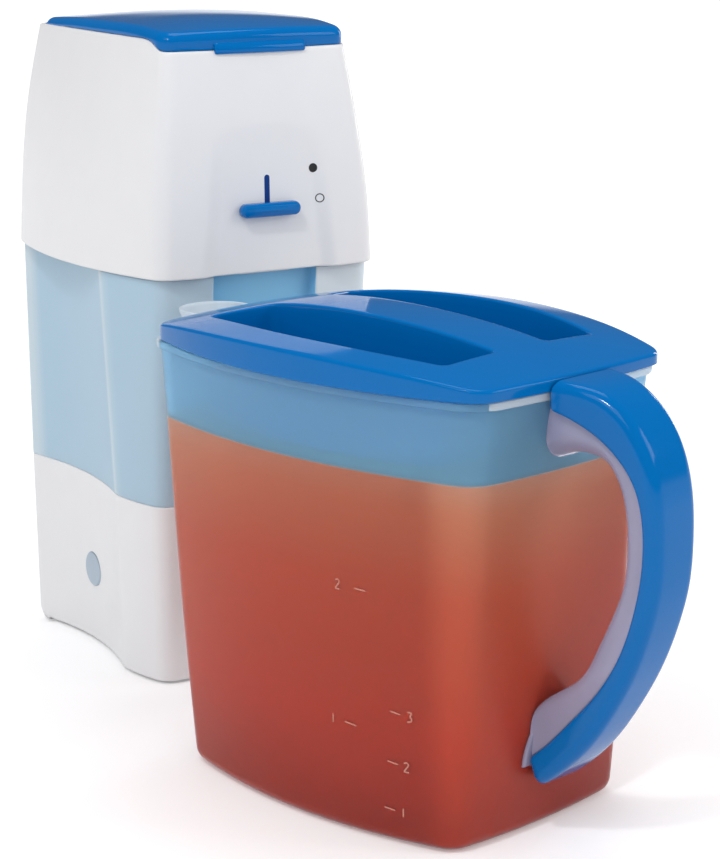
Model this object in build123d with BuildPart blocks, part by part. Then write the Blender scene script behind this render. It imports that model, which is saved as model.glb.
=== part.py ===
from build123d import *
import os
from dataclasses import dataclass, replace
from math import cos, hypot, radians, sin

# Iced tea maker: a brewing tower and the pitcher that stands in front of it.
# Sizes in millimetres, z = 0 is the table. The tower faces -Y.

os.makedirs("parts", exist_ok=True)

# ---- where the two units stand (the middle of the whole footprint is the origin)
TOWER_X, TOWER_Y = 10.9, 139.5
PITCHER_X, PITCHER_Y = -2.8, -71.6
PITCHER_TURN = -75.3            # direction of the pitcher's handle, spout the other way

# ---- tower heights
FOOT_HEIGHT = 1.5               # gap under the base shell
BASE_TOP = 87.4                 # seam between base and reservoir
TANK_TOP = 195.6                # top rim of the reservoir
SEAM = 196.0                    # lower edge of the brewing housing
SIDE_TOP = 302.4                # top edge of the housing's side walls
FRONT_TOP = 297.2               # top edge of the housing's front wall

# ---- wall thicknesses
SHELL_WALL = 2.5
TANK_WALL = 2.2
PITCHER_WALL = 2.4
LID_WALL = 2.2

# ---- docking recess in the front of base and reservoir
RECESS_HALF = 26.7
RECESS_DEPTH = 6.0

# ---- hinge of the tower lid
HINGE_Y, HINGE_Z = 68.6, 300.2
HINGE_PIN_R = 1.25
KNUCKLE_R = 3.2
LID_KNUCKLE_HALF = 14.0
HINGE_NOTCH_HALF = 21.0

# ---- power button, on the left side of the base
BUTTON_Y, BUTTON_Z = 17.0, 38.7
BUTTON_R = 8.7
BUTTON_TRAVEL = 1.6

# ---- strength slider on the front of the housing
SLIDER_Z = 224.6                # middle of the knob at its lowest place
SLIDER_TRAVEL = 14.0
SLOT_HALF = 1.6

# ---- water path: the two upright runs at the rear of the tower
RISER_X, RISER_Y = 28.0, 54.0
OUTLET_X, OUTLET_Y = -28.0, 54.0
RISER_R = 4.0
RISER_TOP = 214.0

# ---- drip chute, in the recess below the housing's front edge
CHUTE_HALF = 13.0

# ---- pitcher
RIM = 185.0                     # top of the pitcher's rim
PITCHER_FLOOR = 3.2
SPOUT_X = -113.6                # middle of the spout's round lip
SPOUT_R = 17.5
SPOUT_TOP = 188.0

tower = Plane(origin=(TOWER_X, TOWER_Y, 0))
pitcher_heading = radians(PITCHER_TURN)
pitcher = Plane(
    origin=(PITCHER_X, PITCHER_Y, 0),
    x_dir=(cos(pitcher_heading), sin(pitcher_heading), 0),
    z_dir=(0, 0, 1),
)


def front_view(unit, y=0.0):
    """Upright plane across a unit at depth y: (unit x, height), facing the unit's front."""
    return Plane(origin=unit.from_local_coords((0, y, 0)), x_dir=unit.x_dir, z_dir=-unit.y_dir)


def side_view(unit, x=0.0):
    """Upright plane along a unit at x: (unit y, height), facing the unit's right."""
    return Plane(origin=unit.from_local_coords((x, 0, 0)), x_dir=unit.y_dir, z_dir=unit.x_dir)


def finish(builder, name):
    """Label a finished piece and write it."""
    builder.part.label = name
    export_step(builder.part, f"parts/{name}.step")


# ======================================================================
# Outlines
# ======================================================================
@dataclass
class TowerLevel:
    """Half outline of the tower at one height: half widths and depths."""

    z: float
    back: float
    rear_half: float
    waist_half: float
    crease_half: float
    crease_y: float
    front_half: float
    front: float


FLOOR_LEVEL = TowerLevel(FOOT_HEIGHT, 71.0, 59.4, 50.6, 57.4, -27.0, 50.0, -59.0)
BASE_LEVEL = TowerLevel(BASE_TOP, 70.6, 61.0, 53.4, 59.0, -26.0, 51.4, -60.6)
RIM_LEVEL = TowerLevel(TANK_TOP, 71.0, 61.8, 58.8, 64.6, -26.0, 53.2, -68.6)

WAIST_Y = 20.0
REAR_RADIUS = 3.0
FRONT_RADIUS = 7.0
CREASE_SWELL = 1.7              # bow of the short face in front of each side crease


def between(low, high, z):
    """The tower's outline at a height between two levels."""
    t = (z - low.z) / (high.z - low.z)
    values = {
        key: getattr(low, key) + t * (getattr(high, key) - getattr(low, key))
        for key in low.__dataclass_fields__
    }
    return TowerLevel(**values)


def tower_outline(level, inset=0.0):
    """Waisted outline with a docking recess in its front face."""
    recess_half = RECESS_HALF + inset
    front = level.front + inset
    with BuildSketch(tower.offset(level.z)) as outline:
        with BuildLine():
            Line((0, level.back - inset), (level.rear_half - inset, level.back - inset))
            ThreePointArc(
                (level.rear_half - inset, level.back - inset),
                (level.waist_half - inset, WAIST_Y),
                (level.crease_half - inset, level.crease_y),
            )
            ThreePointArc(
                (level.crease_half - inset, level.crease_y),
                ((level.crease_half + level.front_half) / 2 + CREASE_SWELL - inset,
                 (level.crease_y + front) / 2),
                (level.front_half - inset, front),
            )
            Line((level.front_half - inset, front), (recess_half, front))
            Line((recess_half, front), (recess_half, front + RECESS_DEPTH))
            Line((recess_half, front + RECESS_DEPTH), (0, front + RECESS_DEPTH))
            mirror(about=Plane.YZ)
        make_face()
        corners = outline.vertices().group_by(Axis.Y)
        fillet(corners[-1], radius=max(REAR_RADIUS - inset, 0.8))
        front_corners = corners[0].sort_by(Axis.X)
        fillet([front_corners[0], front_corners[-1]], radius=FRONT_RADIUS - inset)
    return outline.sketch


@dataclass
class HousingLevel:
    """Half outline of the brewing housing at one height."""

    z: float
    back: float
    rear_half: float
    side_half: float
    side_y: float
    front_half: float
    front: float
    panel: float


HOUSING_LEVELS = [
    HousingLevel(SEAM, 72.2, 62.4, 67.6, -24.0, 55.6, -71.8, -75.6),
    HousingLevel(228.0, 72.2, 60.8, 65.4, -22.0, 54.4, -70.6, -73.8),
    HousingLevel(268.0, 72.0, 56.6, 58.0, -20.0, 50.6, -66.8, -69.4),
    HousingLevel(306.0, 72.0, 48.4, 48.8, -18.0, 45.8, -61.4, -63.6),
]
HOUSING_REAR_RADIUS, HOUSING_FRONT_RADIUS = 3.5, 9.0


def housing_outline(level, inset=0.0, panel_inset=None):
    """Bellied outline: straight rear, curved sides, gently rounded front."""
    panel_in = inset if panel_inset is None else panel_inset
    with BuildSketch(tower.offset(level.z)) as outline:
        with BuildLine():
            Line((0, level.back - inset), (level.rear_half - inset, level.back - inset))
            ThreePointArc(
                (level.rear_half - inset, level.back - inset),
                (level.side_half - inset, level.side_y),
                (level.front_half - inset, level.front + inset),
            )
            mirror(about=Plane.YZ)
            ThreePointArc(
                (level.front_half - inset, level.front + inset),
                (0, level.panel + panel_in),
                (inset - level.front_half, level.front + inset),
            )
        make_face()
        corners = outline.vertices().group_by(Axis.Y)
        fillet(corners[-1], radius=HOUSING_REAR_RADIUS)
        fillet(corners[0], radius=HOUSING_FRONT_RADIUS)
    return outline.sketch


END_SWELL = 3.5                 # bow of the pitcher's two end walls


def barrel_outline(plane, half_length_front, half_length_back, corner_y, swell, radius, inset=0.0):
    """Four bowed sides meeting in rounded corners: the pitcher's plan."""
    front = -half_length_front + inset
    back = half_length_back - inset
    corner = corner_y - inset
    with BuildSketch(plane) as outline:
        with BuildLine():
            ThreePointArc((front, corner), (0, corner + swell), (back, corner))
            ThreePointArc((back, corner), (back + END_SWELL, 0), (back, -corner))
            ThreePointArc((back, -corner), (0, -corner - swell), (front, -corner))
            ThreePointArc((front, -corner), (front - END_SWELL, 0), (front, corner))
        make_face()
        fillet(outline.vertices(), radius=max(radius - inset, 1.0))
    return outline.sketch


@dataclass
class PitcherLevel:
    """Plan of the pitcher at one height."""

    z: float
    spout_end: float
    handle_end: float
    corner_y: float
    swell: float
    radius: float = 9.0


PITCHER_LEVELS = [
    PitcherLevel(0.0, 77.6, 76.8, 50.2, 12.4),
    PitcherLevel(75.0, 86.4, 82.0, 50.6, 12.8),
    PitcherLevel(151.0, 93.0, 86.2, 51.0, 13.6),
    PitcherLevel(RIM, 94.2, 89.6, 52.6, 16.6),
]


def pitcher_outline(level, inset=0.0):
    """The pitcher's plan at one of its levels, drawn in by an inset."""
    return barrel_outline(
        pitcher.offset(level.z), level.spout_end, level.handle_end, level.corner_y, level.swell,
        level.radius, inset,
    )


# ======================================================================
# Base of the tower
# ======================================================================
BUTTON_FACE_X = -52.6           # where the button's domed face stands
DECK = 3.0                      # thickness of the base shell's top deck
BOSS_PLACES = [(40, 34), (-40, 34), (36, -38), (-36, -38)]
PLATE_TOP = 5.0
GLAND_PLACE = (-30, 18)         # cord gland in the rear wall: x and height
GLAND_SEAT, GLAND_END = 67.6, 73.2
GLAND_BORE = 2.8

with BuildPart() as base_shell:
    loft([tower_outline(FLOOR_LEVEL), tower_outline(BASE_LEVEL)])
    # the lower rear edge is rounded off, seen from the side
    with BuildSketch(side_view(tower)) as rear_round:
        with BuildLine():
            Polyline((-90, FOOT_HEIGHT), (63.6, FOOT_HEIGHT), (71.1, 10), (74, BASE_TOP), (-90, BASE_TOP),
                     (-90, FOOT_HEIGHT))
        make_face()
        fillet(rear_round.vertices().sort_by(Axis.Y)[:3].sort_by(Axis.X)[1:], radius=7)
    extrude(amount=80, both=True, mode=Mode.INTERSECT)
    # hollow inside, open at the bottom
    loft(
        [tower_outline(replace(FLOOR_LEVEL, z=FOOT_HEIGHT - 1), SHELL_WALL),
         tower_outline(replace(BASE_LEVEL, z=BASE_TOP - DECK), SHELL_WALL)],
        mode=Mode.SUBTRACT,
    )
    # screw bosses hang from the deck
    with BuildSketch(tower.offset(PLATE_TOP)):
        with Locations(*BOSS_PLACES):
            Circle(4)
            Circle(1.5, mode=Mode.SUBTRACT)
    extrude(amount=BASE_TOP - DECK - PLATE_TOP)
    # openings in the deck for the reservoir's outlet and the riser
    with BuildSketch(tower.offset(BASE_TOP)):
        with Locations((OUTLET_X, OUTLET_Y)):
            Circle(7.4)
        with Locations((RISER_X, RISER_Y)):
            Circle(7.4)
    extrude(amount=-DECK - 1, mode=Mode.SUBTRACT)
    # the button's opening, on the left
    with BuildSketch(side_view(tower, -40)):
        with Locations((BUTTON_Y, BUTTON_Z)):
            Circle(BUTTON_R + 0.35)
    extrude(amount=-30, mode=Mode.SUBTRACT)
    # the cord gland's opening, at the rear
    with BuildSketch(front_view(tower, 50)):
        with Locations(GLAND_PLACE):
            Circle(5.2)
    extrude(amount=-30, mode=Mode.SUBTRACT)
finish(base_shell, "base_shell")

with BuildPart() as base_plate:
    plate_level = replace(FLOOR_LEVEL, z=FOOT_HEIGHT + 1)
    extrude(tower_outline(plate_level, SHELL_WALL + 0.4), amount=PLATE_TOP - FOOT_HEIGHT - 1)
    with BuildSketch(tower.offset(FOOT_HEIGHT)):
        with Locations(*BOSS_PLACES):
            Circle(1.7)
        for row in range(5):
            with Locations((0, -16 + 8 * row)):
                SlotOverall(44, 3)
    extrude(amount=PLATE_TOP, mode=Mode.SUBTRACT)
    with BuildSketch(tower.offset(FOOT_HEIGHT)):
        with Locations(*BOSS_PLACES):
            Circle(3.3)
    extrude(amount=2.6, mode=Mode.SUBTRACT)
    with BuildSketch(tower.offset(FOOT_HEIGHT)):
        with Locations((42, 52), (-42, 52), (40, -48), (-40, -48)):
            Circle(2.2)
    extrude(amount=PLATE_TOP, mode=Mode.SUBTRACT)
finish(base_plate, "base_plate")

with BuildPart() as rubber_feet:
    with BuildSketch(tower):
        with Locations((42, 52), (-42, 52), (40, -48), (-40, -48)):
            Circle(5)
    extrude(amount=FOOT_HEIGHT + 1)
    with BuildSketch(tower.offset(FOOT_HEIGHT + 1)):
        with Locations((42, 52), (-42, 52), (40, -48), (-40, -48)):
            Circle(2.1)
    extrude(amount=PLATE_TOP - FOOT_HEIGHT)
finish(rubber_feet, "rubber_feet")

with BuildPart() as base_screws:
    with BuildSketch(tower.offset(FOOT_HEIGHT + 1.2)):
        with Locations(*BOSS_PLACES):
            Circle(3.0)
    extrude(amount=1.4)
    with BuildSketch(tower.offset(FOOT_HEIGHT + 2.6)):
        with Locations(*BOSS_PLACES):
            Circle(1.45)
    extrude(amount=10)
    with BuildSketch(tower.offset(FOOT_HEIGHT + 1.2)):
        with Locations(*BOSS_PLACES):
            Rectangle(3.6, 0.8)
            Rectangle(0.8, 3.6)
    extrude(amount=0.8, mode=Mode.SUBTRACT)
finish(base_screws, "base_screws")

with BuildPart() as cord_gland:
    with BuildSketch(front_view(tower, GLAND_SEAT)):
        with Locations(GLAND_PLACE):
            Circle(7)
            Circle(GLAND_BORE, mode=Mode.SUBTRACT)
    extrude(amount=3)
    with BuildSketch(front_view(tower, GLAND_END)):
        with Locations(GLAND_PLACE):
            Circle(5)
            Circle(GLAND_BORE, mode=Mode.SUBTRACT)
    extrude(amount=GLAND_END - GLAND_SEAT)
finish(cord_gland, "cord_gland")

# ---- power button with its switch and lamp
with BuildPart() as power_button:
    with BuildSketch(side_view(tower, BUTTON_FACE_X)):
        with Locations((BUTTON_Y, BUTTON_Z)):
            Circle(BUTTON_R)
    extrude(amount=5.4)
    fillet(power_button.faces().sort_by(Axis.X)[0].edges(), radius=0.9)
    with BuildSketch(side_view(tower, BUTTON_FACE_X + 4.6)):
        with Locations((BUTTON_Y, BUTTON_Z)):
            Circle(BUTTON_R + 1.4)
    extrude(amount=1.4)
    with BuildSketch(side_view(tower, BUTTON_FACE_X + 6.0)):
        with Locations((BUTTON_Y, BUTTON_Z)):
            Circle(2.6)
    extrude(amount=6.6)
finish(power_button, "power_button")

SWITCH_X = BUTTON_FACE_X + 6.0 + 6.6 + BUTTON_TRAVEL + 0.3
SWITCH_FOOT = BUTTON_Z - 10
with BuildPart(tower) as power_switch:
    with Locations((SWITCH_X + 9, BUTTON_Y, BUTTON_Z)):
        Box(18, 14, 20)
    fillet(power_switch.edges().filter_by(Axis.X), radius=1.5)
    with Locations((SWITCH_X + 21, BUTTON_Y, BUTTON_Z + 5), (SWITCH_X + 21, BUTTON_Y, BUTTON_Z - 5)):
        Box(6, 6, 0.8)
finish(power_switch, "power_switch")

with BuildPart() as pilot_lamp:
    with BuildSketch(side_view(tower, SWITCH_X - 6)):
        with Locations((BUTTON_Y, BUTTON_Z + 6.5)):
            Circle(2)
    extrude(amount=6)
    fillet(pilot_lamp.faces().sort_by(Axis.X)[0].edges(), radius=1.2)
finish(pilot_lamp, "pilot_lamp")

with BuildPart() as switch_bracket:
    with BuildSketch(front_view(tower, BUTTON_Y - 7)):
        with BuildLine():
            Polyline((SWITCH_X, PLATE_TOP), (SWITCH_X + 18, PLATE_TOP), (SWITCH_X + 18, SWITCH_FOOT),
                     (SWITCH_X, SWITCH_FOOT), (SWITCH_X, SWITCH_FOOT - 1.5),
                     (SWITCH_X + 16.5, SWITCH_FOOT - 1.5), (SWITCH_X + 16.5, 6.5), (SWITCH_X, 6.5),
                     (SWITCH_X, PLATE_TOP))
        make_face()
    extrude(amount=-14)
finish(switch_bracket, "switch_bracket")

# ---- heater: a horseshoe casting with a water tube on its back
HEATER_Z = 58.0
HEATER_R = 28.0
HEATER_LEG = 38.0
HEATER_HIGH, HEATER_WIDE = 10.0, 13.0
TUBE_R = 4.0
TUBE_Z = HEATER_Z + HEATER_HIGH / 2 + TUBE_R


def horseshoe(z, leg):
    """The heater's path: two legs to the rear joined by a half circle in front."""
    with BuildLine(tower.offset(z)) as path:
        Line((-HEATER_R, leg), (-HEATER_R, 6))
        ThreePointArc((-HEATER_R, 6), (0, 6 - HEATER_R), (HEATER_R, 6))
        Line((HEATER_R, 6), (HEATER_R, leg))
    return path.line


with BuildPart() as heater_casting:
    heater_path = horseshoe(HEATER_Z, HEATER_LEG - 6)
    with BuildSketch(Plane(heater_path @ 0, x_dir=(1, 0, 0), z_dir=heater_path % 0)):
        RectangleRounded(HEATER_WIDE, HEATER_HIGH, 2.5)
    sweep(path=heater_path)
finish(heater_casting, "heater_casting")

with BuildPart() as heater_water_tube:
    tube_path = horseshoe(TUBE_Z, HEATER_LEG)
    with BuildSketch(Plane(tube_path @ 0, x_dir=(1, 0, 0), z_dir=tube_path % 0)):
        Circle(TUBE_R)
        Circle(TUBE_R - 0.8, mode=Mode.SUBTRACT)
    sweep(path=tube_path)
finish(heater_water_tube, "heater_water_tube")

with BuildPart() as heater_bracket:
    with BuildSketch(front_view(tower, -9)):
        with BuildLine():
            Polyline((-38, PLATE_TOP), (-27, PLATE_TOP), (-27, 6.5), (-32, 6.5), (-32, 51.5), (32, 51.5), (32, 6.5),
                     (27, 6.5), (27, PLATE_TOP), (38, PLATE_TOP), (38, 6.5), (33.5, 6.5), (33.5, 53), (-33.5, 53),
                     (-33.5, 6.5), (-38, 6.5), (-38, PLATE_TOP))
        make_face()
    extrude(amount=22)
    with BuildSketch(tower.offset(50)):
        with Locations((0, -20)):
            Circle(8.6)
    extrude(amount=6, mode=Mode.SUBTRACT)
finish(heater_bracket, "heater_bracket")

with BuildPart(tower) as thermostat:
    with BuildSketch(tower.offset(HEATER_Z - HEATER_HIGH / 2)):
        with Locations((0, -20)):
            Circle(8)
    extrude(amount=-7)
    with BuildSketch(tower.offset(HEATER_Z - HEATER_HIGH / 2 - 7)):
        with Locations((0, -20)):
            Circle(6)
    extrude(amount=-4)
    with Locations((-3.5, -20, 40), (3.5, -20, 40)):
        Box(0.8, 4, 7)
finish(thermostat, "thermostat")

with BuildPart() as thermal_fuse:
    with BuildSketch(front_view(tower, 24)):
        with Locations((HEATER_R, HEATER_Z - HEATER_HIGH / 2 - 2)):
            Circle(2)
    extrude(amount=12)
finish(thermal_fuse, "thermal_fuse")

# ======================================================================
# Reservoir
# ======================================================================
TANK_FLOOR = 2.6
LIP_LOW, LIP_TOP = 189.0, 200.0

with BuildPart() as reservoir:
    loft([tower_outline(BASE_LEVEL), tower_outline(RIM_LEVEL)])
    inner_low = between(BASE_LEVEL, RIM_LEVEL, BASE_TOP + TANK_FLOOR)
    inner_high = between(BASE_LEVEL, RIM_LEVEL, TANK_TOP + 2)
    loft([tower_outline(inner_low, TANK_WALL), tower_outline(inner_high, TANK_WALL)], mode=Mode.SUBTRACT)
    # raised locating lip just inside the rim
    lip_low = between(BASE_LEVEL, RIM_LEVEL, LIP_LOW)
    lip_high = between(BASE_LEVEL, RIM_LEVEL, LIP_TOP)
    loft([tower_outline(lip_low, TANK_WALL - 0.1), tower_outline(lip_high, TANK_WALL + 1.0)])
    loft(
        [tower_outline(replace(lip_low, z=LIP_LOW - 1), TANK_WALL + 0.1),
         tower_outline(replace(lip_high, z=LIP_TOP + 1), TANK_WALL + 2.6)],
        mode=Mode.SUBTRACT,
    )
    # the lip is left out along the front, where the drip chute passes
    with BuildSketch(tower.offset(TANK_TOP)):
        with Locations((0, -64)):
            Rectangle(140, 26)
    extrude(amount=10, mode=Mode.SUBTRACT)
    # outlet spigot through the deck, and the riser's hole
    with BuildSketch(tower.offset(BASE_TOP)):
        with Locations((OUTLET_X, OUTLET_Y), (RISER_X, RISER_Y)):
            Circle(7)
    extrude(amount=-8)
    with BuildSketch(tower.offset(BASE_TOP - 10)):
        with Locations((OUTLET_X, OUTLET_Y)):
            Circle(4)
        with Locations((RISER_X, RISER_Y)):
            Circle(5.2)
    extrude(amount=20, mode=Mode.SUBTRACT)
finish(reservoir, "reservoir")

with BuildPart() as reservoir_seals:
    with BuildSketch(tower.offset(BASE_TOP - DECK - 2)):
        with Locations((OUTLET_X, OUTLET_Y), (RISER_X, RISER_Y)):
            Circle(9)
            Circle(7.05, mode=Mode.SUBTRACT)
    extrude(amount=2)
finish(reservoir_seals, "reservoir_seals")

with BuildPart() as riser_tube:
    with BuildSketch(tower.offset(74)):
        with Locations((RISER_X, RISER_Y)):
            Circle(RISER_R)
            Circle(RISER_R - 1.1, mode=Mode.SUBTRACT)
    extrude(amount=RISER_TOP - 74)
finish(riser_tube, "riser_tube")

with BuildPart() as riser_grommet:
    with BuildSketch(tower.offset(BASE_TOP - 8)):
        with Locations((RISER_X, RISER_Y)):
            Circle(5.2)
            Circle(RISER_R, mode=Mode.SUBTRACT)
    extrude(amount=8 + TANK_FLOOR)
    with BuildSketch(tower.offset(BASE_TOP + TANK_FLOOR)):
        with Locations((RISER_X, RISER_Y)):
            Circle(7.5)
            Circle(RISER_R, mode=Mode.SUBTRACT)
    extrude(amount=2.5)
finish(riser_grommet, "riser_grommet")

VALVE_TOP = BASE_TOP - 8
with BuildPart() as inlet_valve:
    with BuildSketch(tower.offset(VALVE_TOP)):
        with Locations((OUTLET_X, OUTLET_Y)):
            Circle(7)
            Circle(3.2, mode=Mode.SUBTRACT)
    extrude(amount=-3)
    with BuildSketch(tower.offset(VALVE_TOP - 3)):
        with Locations((OUTLET_X, OUTLET_Y)):
            Circle(TUBE_R - 0.05)
            Circle(2.6, mode=Mode.SUBTRACT)
    extrude(amount=-4)
finish(inlet_valve, "inlet_valve")

HOSE_R = 5.6


def hose(name, x, top):
    """Silicone elbow from the heater's water tube up to the fitting above the rear."""
    rear = OUTLET_Y
    with BuildPart() as elbow:
        with BuildLine(side_view(tower, x)) as path:
            FilletPolyline((HEATER_LEG - 5, TUBE_Z), (rear, TUBE_Z), (rear, top), radius=6)
        with BuildSketch(Plane(path.line @ 0, x_dir=(1, 0, 0), z_dir=path.line % 0)):
            Circle(HOSE_R)
            Circle(TUBE_R, mode=Mode.SUBTRACT)
        sweep(path=path.line)
    finish(elbow, name)


hose("inlet_hose", OUTLET_X, VALVE_TOP - 3)
hose("outlet_hose", RISER_X, 79.4)

# ======================================================================
# Brewing housing: lifts off the reservoir in one piece
# ======================================================================
DIP_START = -42.0               # where the side walls' top edge begins to dip
DIP_END = -60.0
PANEL_TOP = 262.0               # where the front panel's hollow runs out
PANEL_SINK = 4.6
PANEL_HALF_LOW, PANEL_HALF_HIGH = 27.0, 21.0


def panel_section(y, spread):
    """Outline of the front panel's hollow at one depth, spread out sideways."""
    low, high = PANEL_HALF_LOW + spread, PANEL_HALF_HIGH + spread
    with BuildSketch(front_view(tower, y)) as section:
        with BuildLine():
            Polyline((-low, SEAM - 1), (low, SEAM - 1), (high, PANEL_TOP + 2), (-high, PANEL_TOP + 2),
                     (-low, SEAM - 1))
        make_face()
    return section.sketch


def top_edge_region(lift=0.0):
    """Side view of what lies above the housing's top edge, raised by a lift."""
    high, low = SIDE_TOP + lift, FRONT_TOP + lift
    with BuildSketch(side_view(tower)) as region:
        with BuildLine():
            Polyline((DIP_START, high), (100, high), (100, 340), (-100, 340), (-100, low), (DIP_END, low))
            Bezier((DIP_END, low), (DIP_END + 5, low), (DIP_START - 12, high), (DIP_START, high))
        make_face()
    return region.sketch


with BuildPart() as brew_housing:
    loft([housing_outline(level) for level in HOUSING_LEVELS])
    # hollow shell, thicker behind the front panel
    first, *middle, last = HOUSING_LEVELS
    loft(
        [housing_outline(replace(first, z=SEAM - 1), SHELL_WALL, 7.0)]
        + [housing_outline(level, SHELL_WALL, inner) for level, inner in zip(middle, (5.0, 3.2))]
        + [housing_outline(replace(last, z=last.z + 1), SHELL_WALL, SHELL_WALL)],
        mode=Mode.SUBTRACT,
    )
    extrude(top_edge_region(), amount=80, both=True, mode=Mode.SUBTRACT)
    # the middle of the front sinks in towards its lower edge
    panel_prism = loft([panel_section(-69.5, -3), panel_section(-79.5, 15)], mode=Mode.PRIVATE)
    with BuildSketch(side_view(tower)):
        with BuildLine():
            Polyline((first.panel + PANEL_SINK, SEAM - 1), (-69.9, PANEL_TOP), (-95, PANEL_TOP), (-95, SEAM - 1),
                     (first.panel + PANEL_SINK, SEAM - 1))
        make_face()
    panel_wedge = extrude(amount=40, both=True, mode=Mode.PRIVATE)
    add(panel_prism & panel_wedge, mode=Mode.SUBTRACT)
    # slot for the strength slider's stem
    with BuildSketch(front_view(tower, -50)):
        with Locations((0, SLIDER_Z + SLIDER_TRAVEL / 2)):
            SlotCenterToCenter(SLIDER_TRAVEL + 2, 2 * SLOT_HALF, rotation=90)
    extrude(amount=40, mode=Mode.SUBTRACT)
    # notch in the rear wall for the hinge, with a lug on each side of it
    with BuildSketch(front_view(tower, 60)):
        with Locations((0, SIDE_TOP)):
            Rectangle(2 * HINGE_NOTCH_HALF, 12)
    extrude(amount=-20, mode=Mode.SUBTRACT)
    for side in (-1, 1):
        middle_x = side * (LID_KNUCKLE_HALF + HINGE_NOTCH_HALF + 0.4) / 2
        length = HINGE_NOTCH_HALF - LID_KNUCKLE_HALF - 0.4
        with BuildSketch(side_view(tower, middle_x)):
            with Locations((HINGE_Y, HINGE_Z)):
                Circle(KNUCKLE_R)
            with Locations((HINGE_Y + 0.6, HINGE_Z - 3.5)):
                Rectangle(4.2, 7)
        extrude(amount=length / 2, both=True)
    with BuildSketch(side_view(tower)):
        with Locations((HINGE_Y, HINGE_Z)):
            Circle(HINGE_PIN_R)
    extrude(amount=HINGE_NOTCH_HALF - 1, both=True, mode=Mode.SUBTRACT)
finish(brew_housing, "brew_housing")

with BuildPart() as hinge_pin:
    with BuildSketch(side_view(tower)):
        with Locations((HINGE_Y, HINGE_Z)):
            Circle(HINGE_PIN_R - 0.02)
    extrude(amount=HINGE_NOTCH_HALF - 1.2, both=True)
finish(hinge_pin, "hinge_pin")

# ---- inside the housing
FLOOR_Z = 203.0
FLOOR_THICK = 2.2
CHUTE_BACK, CHUTE_FRONT = -63.4, -67.4
CHUTE_LOW = 195.2               # the nozzle ends just below the seam

with BuildPart() as housing_floor:
    floor_level = HousingLevel(
        FLOOR_Z, 72.2, 62.0, 67.1, -24.0, 55.4, -71.6, -75.2,
    )
    extrude(housing_outline(floor_level, SHELL_WALL + 0.3, 7.6), amount=FLOOR_THICK)
    with BuildSketch(tower.offset(FLOOR_Z - 1)):
        with Locations((0, -57)):
            Rectangle(26.4, 12.4)
        with Locations((RISER_X, RISER_Y)):
            Circle(7.6)
    extrude(amount=FLOOR_THICK + 2, mode=Mode.SUBTRACT)
finish(housing_floor, "housing_floor")

BASKET_LOW, BASKET_TOP = FLOOR_Z + FLOOR_THICK, 287.0
BASKET_Y = -9.0
BASKET_FLOOR = 214.0


def basket_section(z, width, depth, radius):
    """Rounded rectangle across the basket."""
    with BuildSketch(tower.offset(z)) as section:
        with Locations((0, BASKET_Y)):
            RectangleRounded(width, depth, radius)
    return section.sketch


with BuildPart() as steeping_basket:
    loft([basket_section(BASKET_LOW, 78, 100, 14), basket_section(BASKET_TOP, 86, 103, 16)])
    # rolled top edge
    extrude(basket_section(BASKET_TOP - 2.4, 88, 105, 17), amount=2.4)
    loft([basket_section(BASKET_FLOOR + 3, 74.6, 96.6, 12.4), basket_section(BASKET_TOP + 1, 82, 99, 14.2)],
         mode=Mode.SUBTRACT)
    # the floor slopes forward to the outlet; below it is a hollow skirt
    with BuildSketch(side_view(tower)):
        with BuildLine():
            Polyline((-56, BASKET_LOW - 1), (38, BASKET_LOW - 1), (38, BASKET_FLOOR), (-56, BASKET_LOW + 2),
                     (-56, BASKET_LOW - 1))
        make_face()
    extrude(amount=35, both=True, mode=Mode.SUBTRACT)
    with BuildSketch(tower.offset(BASKET_LOW - 1)):
        with Locations((0, -52)):
            Rectangle(22, 7.4)
    extrude(amount=20, mode=Mode.SUBTRACT)
    # bypass opening behind the strength gate
    with BuildSketch(front_view(tower, -40)):
        with Locations((0, SLIDER_Z + 10)):
            Rectangle(10, 12)
    extrude(amount=30, mode=Mode.SUBTRACT)
finish(steeping_basket, "steeping_basket")

with BuildPart() as filter_screen:
    with BuildSketch(tower.offset(BASKET_FLOOR + 3)):
        with Locations((0, BASKET_Y)):
            RectangleRounded(74, 96, 12)
            with GridLocations(10.5, 11.5, 6, 7):
                RegularPolygon(3.6, 6, mode=Mode.SUBTRACT)
    extrude(amount=1.2)
finish(filter_screen, "filter_screen")

with BuildPart() as drip_chute:
    with BuildSketch(tower.offset(198.2)):
        with Locations((0, -57)):
            Rectangle(26, 12)
            Rectangle(22.4, 9, mode=Mode.SUBTRACT)
    extrude(amount=FLOOR_Z + FLOOR_THICK - 198.2)
    with BuildSketch(side_view(tower)):
        with BuildLine():
            Polyline((-51, 198.2), (CHUTE_FRONT, 198.2), (CHUTE_FRONT, CHUTE_LOW), (CHUTE_BACK, CHUTE_LOW),
                     (CHUTE_BACK, 196.6), (-51, 196.6), (-51, 198.2))
        make_face()
    extrude(amount=CHUTE_HALF, both=True)
    with BuildSketch(side_view(tower)):
        with BuildLine():
            Polyline((-61.5, 204), (-66.2, 199.6), (-66.2, 189), (-64.6, 189), (-64.6, 197.8), (-60, 197.8),
                     (-58, 204), (-61.5, 204))
        make_face()
    extrude(amount=11.2, both=True, mode=Mode.SUBTRACT)
finish(drip_chute, "drip_chute")

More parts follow.
